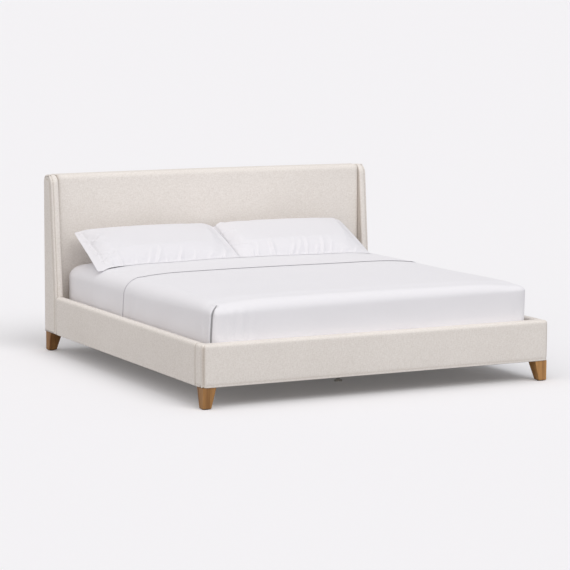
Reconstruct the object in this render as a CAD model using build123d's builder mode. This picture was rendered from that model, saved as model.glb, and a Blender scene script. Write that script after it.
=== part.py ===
from build123d import *
import os

os.makedirs("parts", exist_ok=True)

# Upholstered king bed with a winged headboard, at real size in millimetres.
# X runs across the bed, Y from the foot to the headboard, Z up from the floor.
# The origin is on the floor under the middle of the bed.

# Mattress, which the whole bed is built round
mattress_width = 1930
mattress_length = 2030
mattress_height = 275
mattress_crown_across = 7
mattress_crown_along = 5
mattress_corner_radius = 72
mattress_cut_overrun = 20
mattress_top_radius = 56
mattress_bottom_radius = 24

# Room round the mattress
mattress_side_gap = 46
mattress_end_gap = 4.5
rest_gap = 0.3

# Rails and footboard
leg_height = 114
rail_height = 225
side_thickness = 48
foot_thickness = 68
foot_return_depth = 92
outer_padding = 12
inner_padding = 6
under_fold = 2
under_lip = 9
rail_top_outer_radius = 17
rail_top_inner_radius = 12
rail_bottom_radius = 4
foot_corner_radius = 18

# Headboard and wings
headboard_height = 1058
headboard_top_rise = 4
headboard_thickness = 113
frame_depth = 60
face_board_thickness = 6
back_cover_thickness = 3
top_padding = 18
cushion_bulge = 6
cushion_top_radius = 30
cushion_back_radius = 16
cushion_groove_radius = 10
stile_width = 60
frame_rail_height = 60
low_frame_rail_height = 130
wing_depth_top = 119
wing_depth_rail = 185
wing_front_corner_radius = 58
wing_back_corner_radius = 44
wing_padding = 12
wing_edge_padding = 14
wing_outer_edge_radius = 8
wing_inner_edge_radius = 11

# Slat deck
deck_height = 154
slat_count = 12
slat_width = 95
slat_thickness = 20
slat_edge_radius = 3
slat_end_gap = 3
slat_first_gap = 10
cleat_width = 25
cleat_height = 30
cleat_end_gap = 6
tape_width = 25
tape_thickness = 1.2
tape_place = 700

# Centre beam and its legs
beam_width = 40
beam_height = 80
bracket_thickness = 3
bracket_reach = 45
bracket_side_height = 55
bracket_flange = 22
bracket_screw_rise = 22
bracket_screw_pitch = 32
bracket_screw_rows = 2
centre_leg_size = 44
centre_leg_pitch = 620
centre_leg_clearance = 30
centre_leg_edge_radius = 3
foot_pad_radius = 22
foot_pad_height = 7
foot_pad_edge_radius = 2
foot_stem_radius = 5
foot_stem_length = 68
foot_travel = 15
foot_bore_clearance = 0.1
foot_bore_spare = 2
foot_nut_height = 8
foot_nut_across = 22
foot_nut_sides = 6

# Corner legs
leg_inset = 5
leg_top_size = 77
leg_bottom_size = 48
leg_edge_radius = 3
leg_bottom_chamfer = 4
glide_radius = 18
glide_height = 3
glide_edge_radius = 1
leg_bolt_offset = 16
leg_bolt_in_leg = 36
leg_bolt_in_frame = 50

# Steel corner brackets and joining plates
plate_thickness = 5
plate_height = 80
plate_low_edge = 16
corner_bracket_length = 112
plate_on_rail = 100
plate_on_wing = 80
plate_bolt_from_end = 24
plate_bolt_low = 20

# Fasteners
bolt_diameter = 8
bolt_length = 40
wing_bolt_length = 89
bolt_head_diameter = 15
bolt_head_height = 5
bolt_hole_clearance = 0.2
bolt_hole_spare = 0.5
wing_bolt_low = 206
wing_bolt_below_top = 136
wing_bolt_count = 3
screw_diameter = 5
screw_length = 45
screw_head_diameter = 10
screw_head_depth = 2.5
cleat_screw_count = 5
cleat_screw_from_end = 150

# Bedding, with each cloth's place in the layers on the mattress
sheet_thickness = 1
fitted_layer = 1
flat_layer = 2
band_layer = 3
sheet_hem = 60
fold_short_of_pillow = 36
fold_lean = 110
band_width_at_top = 450
band_width_at_bottom = 435
pillow_length = 870
pillow_width = 430
pillow_front_crown = 85
pillow_back_crown = 75
pillow_tilt = 25
pillow_turn = 2
pillow_end_gap = 20
pillow_gap = 0.6
pillows_off_centre = -40
pillowcase_thickness = 1.5

# Heights above the floor
rail_bottom = leg_height
rail_top = rail_bottom + rail_height
core_bottom = rail_bottom + under_fold
core_top = rail_top - outer_padding
deck_top = rail_bottom + deck_height
slat_bottom = deck_top - slat_thickness
beam_bottom = slat_bottom - beam_height
mattress_bottom = deck_top + rest_gap + flat_layer * sheet_thickness
frame_top = headboard_height - headboard_top_rise - top_padding
wing_top = headboard_height - headboard_top_rise

# Faces across the bed and along it
inner_side = mattress_width / 2 + mattress_side_gap
outer_side = inner_side + side_thickness
overall_depth = foot_thickness + 2 * mattress_end_gap + mattress_length + headboard_thickness
foot_face = -overall_depth / 2
foot_inner = foot_face + foot_thickness
corner_seam = foot_face + foot_return_depth
back_face = overall_depth / 2
headboard_front = back_face - headboard_thickness
frame_back = back_face - back_cover_thickness
frame_front = frame_back - frame_depth
board_front = frame_front - face_board_thickness
wing_front = back_face - wing_depth_rail
mattress_middle = (foot_inner + headboard_front) / 2

# Pillow sections: place along the half length, then width and crown there, each as a share
pillow_section_shares = (
    (-1.0, 1.02, 0.10),
    (-0.9, 1.03, 0.42),
    (-0.62, 0.985, 0.83),
    (0.0, 0.96, 1.0),
    (0.62, 0.985, 0.83),
    (0.9, 1.03, 0.42),
    (1.0, 1.02, 0.10),
)
waist_share = min(width_share for place_share, width_share, crown_share in pillow_section_shares)

# Where the pillows lie: against the headboard, and on the cloth where it reaches under them
pillow_step = (pillow_length + pillow_end_gap) / 2
tilt_rise = Vector(0, 1, 0).rotate(Axis.X, pillow_tilt)
turn_reach = Vector(1, 0, 0).rotate(Axis.Z, pillow_turn)
pillow_back_reach = max(
    width_share * pillow_width / 2 * tilt_rise.Y + place_share * pillow_length / 2 * turn_reach.Y
    for place_share, width_share, crown_share in pillow_section_shares
)
pillow_waist = waist_share * pillow_width / 2
under_radius = (pillow_waist**2 + pillow_back_crown**2) / (2 * pillow_back_crown)
under_centre = under_radius - pillow_back_crown
pillow_centre_y = headboard_front - pillow_gap - pillow_back_reach
pillow_rest_y = pillow_centre_y - under_centre * tilt_rise.Z
fold_at_top = pillow_rest_y - fold_short_of_pillow
under_rise_at_fold = under_radius - (under_radius**2 - fold_short_of_pillow**2) ** 0.5
nearer_pillow_x = pillow_step - abs(pillows_off_centre)
crown_across_share = 1 - (nearer_pillow_x / (mattress_width / 2)) ** 2
crown_along_share = 1 - ((fold_at_top - mattress_middle) / (mattress_length / 2)) ** 2
cloth_top = (
    mattress_bottom
    + mattress_height
    + mattress_crown_across * crown_across_share
    + mattress_crown_along * crown_along_share
    + band_layer * sheet_thickness
)
pillow_lowest = cloth_top + pillow_gap - under_rise_at_fold
pillow_centre_z = pillow_lowest + under_radius - under_centre * tilt_rise.Y

# Edges of the flat sheet: its fold by the pillows, and the hem of the part turned back
fold_at_bottom = fold_at_top - fold_lean
band_hem_at_top = fold_at_top - band_width_at_top
band_hem_at_bottom = fold_at_bottom - band_width_at_bottom

bolt_hole = (bolt_diameter + bolt_hole_clearance) / 2
screw_hole = (screw_diameter + bolt_hole_clearance) / 2
screw_sink = (screw_head_diameter + bolt_hole_clearance) / 2

# Places of the fasteners: each origin is where the head sits, each Z points out of the piece
plate_bottom = rail_bottom + plate_low_edge
plate_bolt_heights = (plate_bottom + plate_bolt_low, plate_bottom + plate_height - plate_bolt_low)
side_bolts = {}
foot_bolts = {}
wing_bolt_places = {}
cleat_screws = {}
cleat_start = foot_inner + cleat_end_gap
cleat_end = board_front - cleat_end_gap
wing_bolt_span = frame_top - wing_bolt_below_top - rail_bottom - wing_bolt_low
wing_bolt_pitch = wing_bolt_span / (wing_bolt_count - 1)
for side in (-1, 1):
    inward = (-side, 0, 0)
    plate_face = side * (inner_side - plate_thickness)
    bracket_bolt_along = foot_inner + corner_bracket_length - plate_bolt_from_end
    rail_plate_bolt = wing_front - plate_on_rail + plate_bolt_from_end
    wing_plate_bolt = wing_front + plate_on_wing - plate_bolt_from_end
    side_bolts[side] = [
        Plane(origin=(plate_face, along, height), z_dir=inward)
        for along in (bracket_bolt_along, rail_plate_bolt, wing_plate_bolt)
        for height in plate_bolt_heights
    ]
    foot_bolts[side] = [
        Plane(
            origin=(
                side * (inner_side - corner_bracket_length + plate_bolt_from_end),
                foot_inner + plate_thickness,
                height,
            ),
            z_dir=(0, 1, 0),
        )
        for height in plate_bolt_heights
    ]
    wing_bolt_places[side] = [
        Plane(
            origin=(
                side * (inner_side - stile_width),
                (frame_front + frame_back) / 2,
                rail_bottom + wing_bolt_low + number * wing_bolt_pitch,
            ),
            z_dir=inward,
        )
        for number in range(wing_bolt_count)
    ]
    cleat_screw_pitch = (cleat_end - cleat_start - 2 * cleat_screw_from_end) / (cleat_screw_count - 1)
    cleat_screws[side] = [
        Plane(
            origin=(
                side * (inner_side - cleat_width),
                cleat_start + cleat_screw_from_end + number * cleat_screw_pitch,
                slat_bottom - cleat_height / 2,
            ),
            z_dir=inward,
        )
        for number in range(cleat_screw_count)
    ]
slat_start = foot_inner + slat_first_gap + slat_width / 2
slat_pitch = (headboard_front - slat_first_gap - slat_width / 2 - slat_start) / (slat_count - 1)
slat_places = [slat_start + number * slat_pitch for number in range(slat_count)]
slat_screw_side = inner_side - cleat_width / 2
slat_screws = [
    Plane(origin=(side * slat_screw_side, place, deck_top), z_dir=(0, 0, 1))
    for side in (-1, 1)
    for place in slat_places
]
bracket_screws = {
    facing: [
        Plane(
            origin=(
                side * (beam_width / 2 + bracket_thickness + bracket_flange / 2),
                wall + facing * bracket_thickness,
                beam_bottom + bracket_screw_rise + number * bracket_screw_pitch,
            ),
            z_dir=(0, facing, 0),
        )
        for side in (-1, 1)
        for number in range(bracket_screw_rows)
    ]
    for facing, wall in ((1, foot_inner), (-1, board_front))
}
leg_outer = outer_side - leg_inset
leg_end = overall_depth / 2 - leg_inset
leg_bolt_side = leg_outer - leg_top_size / 2 - leg_bolt_offset
leg_bolt_end = leg_end - leg_top_size / 2
leg_bolt_places = {
    (side, end): Plane(origin=(side * leg_bolt_side, end * leg_bolt_end, rail_bottom))
    for side in (-1, 1)
    for end in (-1, 1)
}


def leg_bolt_holes(side, end):
    """Cuts one hanger bolt's bore in the part being built, above and below the leg's top."""
    with Locations(leg_bolt_places[side, end]):
        Cylinder(
            bolt_hole,
            leg_bolt_in_frame + bolt_hole_spare,
            align=(Align.CENTER, Align.CENTER, Align.MIN),
            mode=Mode.SUBTRACT,
        )
        Cylinder(
            bolt_hole,
            leg_bolt_in_leg + bolt_hole_spare,
            align=(Align.CENTER, Align.CENTER, Align.MAX),
            mode=Mode.SUBTRACT,
        )


# Headboard frame: two timber stiles, a top rail and a deep bottom rail
for side, hand in ((-1, "left"), (1, "right")):
    with BuildPart() as stile:
        with BuildSketch(Plane.XY.offset(rail_bottom)):
            with Locations((side * (inner_side - stile_width / 2), (frame_front + frame_back) / 2)):
                Rectangle(stile_width, frame_depth)
        extrude(amount=frame_top - rail_bottom)
        leg_bolt_holes(side, 1)
        with Locations(*wing_bolt_places[side]):
            Hole(bolt_hole, wing_bolt_length + bolt_hole_spare)
    stile.part.label = f"headboard_stile_{hand}"
    export_step(stile.part, f"parts/{stile.part.label}.step")

frame_rail_length = 2 * (inner_side - stile_width)

with BuildPart() as headboard_top_rail:
    with BuildSketch(Plane.XY.offset(frame_top - frame_rail_height)):
        with Locations((0, (frame_front + frame_back) / 2)):
            Rectangle(frame_rail_length, frame_depth)
    extrude(amount=frame_rail_height)
headboard_top_rail.part.label = "headboard_top_rail"
export_step(headboard_top_rail.part, "parts/headboard_top_rail.step")

with BuildPart() as headboard_bottom_rail:
    with BuildSketch(Plane.XY.offset(core_bottom)):
        with Locations((0, (frame_front + frame_back) / 2)):
            Rectangle(frame_rail_length, frame_depth)
    extrude(amount=low_frame_rail_height)
    with Locations(*bracket_screws[-1]):
        Hole(screw_hole, screw_length + bolt_hole_spare)
headboard_bottom_rail.part.label = "headboard_bottom_rail"
export_step(headboard_bottom_rail.part, "parts/headboard_bottom_rail.step")

# Plywood face board, on the front of the frame
with BuildPart() as headboard_face_board:
    with BuildSketch(Plane.XY.offset(core_bottom)):
        with Locations((0, (board_front + frame_front) / 2)):
            Rectangle(2 * inner_side, face_board_thickness)
    extrude(amount=frame_top - core_bottom)
    with Locations(*bracket_screws[-1]):
        Hole(screw_hole, screw_length + bolt_hole_spare)
headboard_face_board.part.label = "headboard_face_board"
export_step(headboard_face_board.part, "parts/headboard_face_board.step")

# Headboard cushion: foam and fabric over the face board, carried over the frame's top
with BuildPart() as headboard_cushion:
    with BuildSketch(Plane.YZ):
        with BuildLine():
            ThreePointArc(
                (headboard_front + cushion_bulge, deck_top),
                (headboard_front, (deck_top + headboard_height) / 2),
                (headboard_front + cushion_bulge, headboard_height),
            )
            Polyline(
                (headboard_front + cushion_bulge, headboard_height),
                (back_face, headboard_height),
                (back_face, frame_top),
                (board_front, frame_top),
                (board_front, deck_top),
                (headboard_front + cushion_bulge, deck_top),
            )
        make_face()
    extrude(amount=inner_side, both=True)
    with BuildSketch(Plane.XZ):
        with BuildLine():
            ThreePointArc(
                (-inner_side, wing_top), (0, headboard_height), (inner_side, wing_top)
            )
            Polyline(
                (inner_side, wing_top),
                (inner_side, rail_bottom),
                (-inner_side, rail_bottom),
                (-inner_side, wing_top),
            )
        make_face()
    extrude(amount=overall_depth, both=True, mode=Mode.INTERSECT)
    side_edges = headboard_cushion.edges().filter_by(
        lambda edge: abs(edge.center().X) > inner_side - rest_gap
    )
    fillet(side_edges.group_by(Axis.Y)[0], cushion_groove_radius)
    front_edges = headboard_cushion.faces().sort_by(Axis.Y)[0].edges()
    fillet(front_edges.sort_by(Axis.Z)[-1], cushion_top_radius)
    back_edges = headboard_cushion.faces().sort_by(Axis.Y)[-1].edges()
    fillet(back_edges.sort_by(Axis.Z)[-1], cushion_back_radius)
headboard_cushion.part.label = "headboard_cushion"
export_step(headboard_cushion.part, "parts/headboard_cushion.step")

# Back cover: fabric on thin board, behind the frame
with BuildPart() as headboard_back_cover:
    with BuildSketch(Plane.XY.offset(rail_bottom)):
        with Locations((0, (frame_back + back_face) / 2)):
            Rectangle(2 * inner_side, back_cover_thickness)
    extrude(amount=frame_top - rail_bottom)
headboard_back_cover.part.label = "headboard_back_cover"
export_step(headboard_back_cover.part, "parts/headboard_back_cover.step")


def wing_outline(drawn_in, lift):
    """Side view of a wing: upright at the back, rounded at the top, slanting out to the rail."""
    with BuildSketch() as outline:
        with BuildLine():
            Polyline(
                (back_face - drawn_in, rail_bottom + lift),
                (back_face - drawn_in, wing_top - drawn_in),
                (back_face - wing_depth_top + drawn_in, wing_top - drawn_in),
                (wing_front + drawn_in, rail_top),
                (wing_front + drawn_in, rail_bottom + lift),
                close=True,
            )
        make_face()
        top_corners = outline.vertices().group_by(Axis.Y)[-1].sort_by(Axis.X)
        fillet(top_corners[0], wing_front_corner_radius - drawn_in)
        back_corners = outline.vertices().group_by(Axis.X)[-1].sort_by(Axis.Y)
        fillet(back_corners[-1], wing_back_corner_radius - drawn_in)
    return outline.sketch_local


# Wings: a board core in a padded cover
for side, hand in ((-1, "left"), (1, "right")):
    with BuildPart() as wing_core:
        with BuildSketch(Plane.YZ.offset(side * (inner_side + wing_padding))):
            add(wing_outline(wing_edge_padding, under_fold))
        extrude(amount=side * (side_thickness - 2 * wing_padding))
    core_solid = wing_core.part
    with BuildPart() as wing_core_drilled:
        add(core_solid)
        with Locations(*side_bolts[side]):
            Hole(bolt_hole, bolt_length + bolt_hole_spare)
        with Locations(*wing_bolt_places[side]):
            Hole(bolt_hole, wing_bolt_length + bolt_hole_spare)
    wing_core_drilled.part.label = f"wing_core_{hand}"
    export_step(wing_core_drilled.part, f"parts/{wing_core_drilled.part.label}.step")

    with BuildPart() as wing_cover:
        with BuildSketch(Plane.YZ.offset(side * inner_side)):
            add(wing_outline(0, 0))
        extrude(amount=side * side_thickness)
        outer_face = wing_cover.faces().sort_by(Axis.X)[-1 if side > 0 else 0]
        rim = outer_face.edges().filter_by(lambda edge: edge.center().Z > rail_bottom)
        fillet(rim, wing_outer_edge_radius)
        inner_face = wing_cover.faces().sort_by(Axis.X)[0 if side > 0 else -1]
        rim = inner_face.edges().filter_by(lambda edge: edge.center().Z > rail_bottom)
        fillet(rim, wing_inner_edge_radius)
        add(core_solid, mode=Mode.SUBTRACT)
        with Locations(*side_bolts[side]):
            Hole(bolt_hole, bolt_length + bolt_hole_spare)
        with Locations(*wing_bolt_places[side]):
            Hole(bolt_hole, wing_bolt_length + bolt_hole_spare)
    wing_cover.part.label = f"wing_cover_{hand}"
    export_step(wing_cover.part, f"parts/{wing_cover.part.label}.step")

# Side rails: a timber core in a padded cover, butted between the footboard's return and the wing
rail_length = wing_front - corner_seam
rail_middle = (wing_front + corner_seam) / 2
rail_core_width = side_thickness - outer_padding - inner_padding
rail_core_centre = inner_side + inner_padding + rail_core_width / 2
for side, hand in ((-1, "left"), (1, "right")):
    with BuildPart() as side_rail:
        with BuildSketch(Plane.XY.offset(core_bottom)):
            with Locations((side * rail_core_centre, rail_middle)):
                Rectangle(rail_core_width, rail_length)
        extrude(amount=core_top - core_bottom)
        with Locations(*side_bolts[side]):
            Hole(bolt_hole, bolt_length + bolt_hole_spare)
        with Locations(*cleat_screws[side]):
            Hole(screw_hole, screw_length + bolt_hole_spare)
    side_rail.part.label = f"side_rail_{hand}"
    export_step(side_rail.part, f"parts/{side_rail.part.label}.step")

    with BuildPart() as side_rail_cover:
        with BuildSketch(Plane.XY.offset(rail_bottom)):
            with Locations((side * (inner_side + side_thickness / 2), rail_middle)):
                Rectangle(side_thickness, rail_length)
        extrude(amount=rail_height)
        long_edges = side_rail_cover.edges().filter_by(Axis.Y)
        outer_edges = long_edges.sort_by(lambda edge: -abs(edge.center().X))[:2]
        inner_edges = long_edges.sort_by(lambda edge: abs(edge.center().X))[:2]
        fillet(outer_edges.sort_by(Axis.Z)[-1], rail_top_outer_radius)
        fillet(inner_edges.sort_by(Axis.Z)[-1], rail_top_inner_radius)
        fillet(outer_edges.sort_by(Axis.Z)[0], rail_bottom_radius)
        with BuildSketch(Plane.XY.offset(core_bottom)):
            with Locations((side * rail_core_centre, rail_middle)):
                Rectangle(rail_core_width, rail_length)
        extrude(amount=core_top - core_bottom, mode=Mode.SUBTRACT)
        with BuildSketch(Plane.XY.offset(rail_bottom)):
            with Locations((side * rail_core_centre, rail_middle)):
                Rectangle(rail_core_width - 2 * under_lip, rail_length)
        extrude(amount=under_fold, mode=Mode.SUBTRACT)
        with Locations(*side_bolts[side]):
            Hole(bolt_hole, bolt_length + bolt_hole_spare)
        with Locations(*cleat_screws[side]):
            Hole(screw_hole, screw_length + bolt_hole_spare)
    side_rail_cover.part.label = f"side_rail_cover_{hand}"
    export_step(side_rail_cover.part, f"parts/{side_rail_cover.part.label}.step")


def foot_plan(outer_in, inner_in):
    """Plan of the footboard with its two short returns, drawn in from its faces."""
    with BuildSketch() as plan:
        with BuildLine():
            Polyline(
                (-outer_side + outer_in, foot_face + outer_in),
                (outer_side - outer_in, foot_face + outer_in),
                (outer_side - outer_in, corner_seam),
                (inner_side + inner_in, corner_seam),
                (inner_side + inner_in, foot_inner - inner_in),
                (-inner_side - inner_in, foot_inner - inner_in),
                (-inner_side - inner_in, corner_seam),
                (-outer_side + outer_in, corner_seam),
                close=True,
            )
        make_face()
    return plan.sketch_local


# Footboard: a timber core with short returns, and the padded cover that wraps both corners
with BuildPart() as foot_rail:
    with BuildSketch(Plane.XY.offset(core_bottom)):
        add(foot_plan(outer_padding, inner_padding))
    extrude(amount=core_top - core_bottom)
    for side in (-1, 1):
        leg_bolt_holes(side, -1)
        with Locations(*foot_bolts[side]):
            Hole(bolt_hole, bolt_length + bolt_hole_spare)
    with Locations(*bracket_screws[1]):
        Hole(screw_hole, screw_length + bolt_hole_spare)
foot_rail.part.label = "foot_rail"
export_step(foot_rail.part, "parts/foot_rail.step")

with BuildPart() as foot_rail_cover:
    with BuildSketch(Plane.XY.offset(rail_bottom)):
        add(foot_plan(0, 0))
    extrude(amount=rail_height)
    corner_edges = foot_rail_cover.edges().filter_by(Axis.Z).group_by(Axis.Y)[0]
    fillet(corner_edges, foot_corner_radius)
    top_face = foot_rail_cover.faces().sort_by(Axis.Z)[-1]
    outer_rim = top_face.edges().filter_by(
        lambda edge: edge.center().Y < foot_inner - foot_thickness / 2
        or abs(edge.center().X) > outer_side - foot_corner_radius / 2
    )
    fillet(outer_rim, rail_top_outer_radius)
    inner_rim = foot_rail_cover.faces().sort_by(Axis.Z)[-1].edges().filter_by(Axis.X)
    fillet(inner_rim.sort_by(Axis.Y)[-1], rail_top_inner_radius)
    with BuildSketch(Plane.XY.offset(core_bottom)):
        add(foot_plan(outer_padding, inner_padding))
    extrude(amount=core_top - core_bottom, mode=Mode.SUBTRACT)
    with BuildSketch(Plane.XY.offset(rail_bottom)):
        add(foot_plan(outer_padding + under_lip, inner_padding + under_lip))
    extrude(amount=under_fold, mode=Mode.SUBTRACT)
    for side in (-1, 1):
        with Locations(*foot_bolts[side]):
            Hole(bolt_hole, bolt_length + bolt_hole_spare)
    with Locations(*bracket_screws[1]):
        Hole(screw_hole, screw_length + bolt_hole_spare)
foot_rail_cover.part.label = "foot_rail_cover"
export_step(foot_rail_cover.part, "parts/foot_rail_cover.step")

# Slat cleats: a timber ledge along each side
for side, hand in ((-1, "left"), (1, "right")):
    with BuildPart() as slat_cleat:
        with BuildSketch(Plane.XY.offset(slat_bottom - cleat_height)):
            with Locations((side * (inner_side - cleat_width / 2), (cleat_start + cleat_end) / 2)):
                Rectangle(cleat_width, cleat_end - cleat_start)
        extrude(amount=cleat_height)
        with Locations(*slat_screws):
            Hole(screw_hole, screw_length + bolt_hole_spare)
        with Locations(*cleat_screws[side]):
            CounterSinkHole(screw_hole, screw_sink)
    slat_cleat.part.label = f"slat_cleat_{hand}"
    export_step(slat_cleat.part, f"parts/{slat_cleat.part.label}.step")

# Slats: sawn pine with eased edges, screwed to the cleats
for number, place in enumerate(slat_places, start=1):
    with BuildPart() as slat:
        with BuildSketch(Plane.XY.offset(slat_bottom)):
            with Locations((0, place)):
                Rectangle(2 * (inner_side - slat_end_gap), slat_width)
        extrude(amount=slat_thickness)
        fillet(slat.edges().filter_by(Axis.X), slat_edge_radius)
        with Locations(*[(side * slat_screw_side, place, deck_top) for side in (-1, 1)]):
            CounterSinkHole(screw_hole, screw_sink)
    slat.part.label = f"slat_{number:02d}"
    export_step(slat.part, f"parts/{slat.part.label}.step")

# Webbing tapes stapled under the slats to keep their spacing
with BuildPart() as slat_tapes:
    with BuildSketch(Plane.XY.offset(slat_bottom - tape_thickness)):
        with Locations(*[(side * tape_place, (slat_places[0] + slat_places[-1]) / 2) for side in (-1, 1)]):
            Rectangle(tape_width, slat_places[-1] - slat_places[0] + slat_width / 2)
    extrude(amount=tape_thickness)
slat_tapes.part.label = "slat_tapes"
export_step(slat_tapes.part, "parts/slat_tapes.step")

# Centre beam on its two steel saddles
beam_start = foot_inner + bracket_thickness
beam_end = board_front - bracket_thickness
with BuildPart() as centre_beam:
    with BuildSketch(Plane.XY.offset(beam_bottom)):
        with Locations((0, (beam_start + beam_end) / 2)):
            Rectangle(beam_width, beam_end - beam_start)
    extrude(amount=beam_height)
centre_beam.part.label = "centre_beam"
export_step(centre_beam.part, "parts/centre_beam.step")

for facing, wall, place in ((1, foot_inner, "foot"), (-1, board_front, "head")):
    with BuildPart() as beam_bracket:
        with BuildSketch(Plane.XZ.offset(-wall)):
            with Locations((0, beam_bottom - bracket_thickness)):
                Rectangle(
                    beam_width + 2 * (bracket_thickness + bracket_flange),
                    bracket_side_height + bracket_thickness + bracket_screw_rise / 2,
                    align=(Align.CENTER, Align.MIN),
                )
        extrude(amount=-facing * bracket_thickness)
        with BuildSketch(Plane.XZ.offset(-wall)):
            with Locations((0, beam_bottom - bracket_thickness)):
                Rectangle(
                    beam_width + 2 * bracket_thickness,
                    bracket_side_height + bracket_thickness,
                    align=(Align.CENTER, Align.MIN),
                )
            with Locations((0, beam_bottom)):
                Rectangle(
                    beam_width,
                    bracket_side_height,
                    align=(Align.CENTER, Align.MIN),
                    mode=Mode.SUBTRACT,
                )
        extrude(amount=-facing * bracket_reach)
        with Locations(*bracket_screws[facing]):
            CounterSinkHole(screw_hole, screw_sink)
    beam_bracket.part.label = f"beam_bracket_{place}"
    export_step(beam_bracket.part, f"parts/{beam_bracket.part.label}.step")

# Centre legs with a bore for the foot's stem, and the screw-in levelling feet
centre_leg_places = (-centre_leg_pitch, 0, centre_leg_pitch)
stem_in_leg = foot_pad_height + foot_nut_height + foot_stem_length - centre_leg_clearance
for number, place in enumerate(centre_leg_places, start=1):
    with BuildPart() as centre_leg:
        with BuildSketch(Plane.XY.offset(centre_leg_clearance)):
            with Locations((0, place)):
                Rectangle(centre_leg_size, centre_leg_size)
        extrude(amount=beam_bottom - centre_leg_clearance)
        fillet(centre_leg.edges().filter_by(Axis.Z), centre_leg_edge_radius)
        with BuildSketch(Plane.XY.offset(centre_leg_clearance)):
            with Locations((0, place)):
                Circle(foot_stem_radius + foot_bore_clearance)
        extrude(amount=stem_in_leg + foot_travel + foot_bore_spare, mode=Mode.SUBTRACT)
    centre_leg.part.label = f"centre_leg_{number}"
    export_step(centre_leg.part, f"parts/{centre_leg.part.label}.step")

    with BuildPart() as levelling_foot:
        with BuildSketch():
            with Locations((0, place)):
                Circle(foot_pad_radius)
        extrude(amount=foot_pad_height)
        fillet(levelling_foot.edges().group_by(Axis.Z)[-1], foot_pad_edge_radius)
        with BuildSketch(Plane.XY.offset(foot_pad_height)):
            with Locations((0, place)):
                RegularPolygon(foot_nut_across / 2, foot_nut_sides, major_radius=False)
        extrude(amount=foot_nut_height)
        with BuildSketch(Plane.XY.offset(foot_pad_height + foot_nut_height)):
            with Locations((0, place)):
                Circle(foot_stem_radius)
        extrude(amount=foot_stem_length)
    levelling_foot.part.label = f"levelling_foot_{number}"
    export_step(levelling_foot.part, f"parts/{levelling_foot.part.label}.step")

# Corner legs: outer faces upright, inner faces tapered, on a nailed glide
corner_names = {(-1, -1): "foot_left", (1, -1): "foot_right", (-1, 1): "head_left", (1, 1): "head_right"}
for (side, end), corner in corner_names.items():
    with BuildPart() as leg:
        for height, size in ((glide_height, leg_bottom_size), (rail_bottom, leg_top_size)):
            with BuildSketch(Plane.XY.offset(height)):
                with Locations((side * (leg_outer - size / 2), end * (leg_end - size / 2))):
                    Rectangle(size, size)
        loft()
        chamfer(leg.faces().sort_by(Axis.Z)[0].edges(), leg_bottom_chamfer)
        rising_edges = leg.edges().filter_by(lambda edge: edge.length > leg_top_size)
        fillet(rising_edges.group_by(Axis.Z)[-1], leg_edge_radius)
        leg_bolt_holes(side, end)
    leg.part.label = f"leg_{corner}"
    export_step(leg.part, f"parts/{leg.part.label}.step")

with BuildPart() as leg_glides:
    with BuildSketch():
        with Locations(
            *[
                (side * (leg_outer - leg_bottom_size / 2), end * (leg_end - leg_bottom_size / 2))
                for side, end in corner_names
            ]
        ):
            Circle(glide_radius)
    extrude(amount=glide_height)
    fillet(leg_glides.edges().group_by(Axis.Z)[0], glide_edge_radius)
leg_glides.part.label = "leg_glides"
export_step(leg_glides.part, "parts/leg_glides.step")

# Hanger bolts that join the legs to the frame
with BuildPart() as leg_bolts:
    with Locations(*leg_bolt_places.values()):
        with Locations((0, 0, -leg_bolt_in_leg)):
            Cylinder(
                bolt_diameter / 2,
                leg_bolt_in_leg + leg_bolt_in_frame,
                align=(Align.CENTER, Align.CENTER, Align.MIN),
            )
leg_bolts.part.label = "leg_bolts"
export_step(leg_bolts.part, "parts/leg_bolts.step")

# Steel angle in each foot corner, and the plate that joins each rail to its wing
with BuildPart() as corner_brackets:
    for side in (-1, 1):
        with BuildSketch(Plane.XY.offset(plate_bottom)):
            with BuildLine():
                Polyline(
                    (side * inner_side, foot_inner),
                    (side * (inner_side - corner_bracket_length), foot_inner),
                    (side * (inner_side - corner_bracket_length), foot_inner + plate_thickness),
                    (side * (inner_side - plate_thickness), foot_inner + plate_thickness),
                    (side * (inner_side - plate_thickness), foot_inner + corner_bracket_length),
                    (side * inner_side, foot_inner + corner_bracket_length),
                    close=True,
                )
            make_face()
        extrude(amount=plate_height)
        with Locations(*side_bolts[side], *foot_bolts[side]):
            Hole(bolt_hole, bolt_length)
corner_brackets.part.label = "corner_brackets"
export_step(corner_brackets.part, "parts/corner_brackets.step")

with BuildPart() as joining_plates:
    for side in (-1, 1):
        with BuildSketch(Plane.XY.offset(plate_bottom)):
            with Locations((side * (inner_side - plate_thickness / 2), wing_front - plate_on_rail)):
                Rectangle(plate_thickness, plate_on_rail + plate_on_wing, align=(Align.CENTER, Align.MIN))
        extrude(amount=plate_height)
        with Locations(*side_bolts[side]):
            Hole(bolt_hole, bolt_length)
joining_plates.part.label = "joining_plates"
export_step(joining_plates.part, "parts/joining_plates.step")

# Machine bolts: one group for brackets and plates, one for the wings
all_frame_bolts = [place for side in (-1, 1) for place in side_bolts[side] + foot_bolts[side]]
all_wing_bolts = [place for side in (-1, 1) for place in wing_bolt_places[side]]
head_radius = bolt_head_diameter / 2
for name, places, length in (
    ("frame_bolts", all_frame_bolts, bolt_length),
    ("wing_bolts", all_wing_bolts, wing_bolt_length),
):
    with BuildPart() as bolts:
        with Locations(*places):
            Cylinder(bolt_diameter / 2, length, align=(Align.CENTER, Align.CENTER, Align.MAX))
            Cylinder(head_radius, bolt_head_height, align=(Align.CENTER, Align.CENTER, Align.MIN))
    bolts.part.label = name
    export_step(bolts.part, f"parts/{name}.step")

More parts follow.
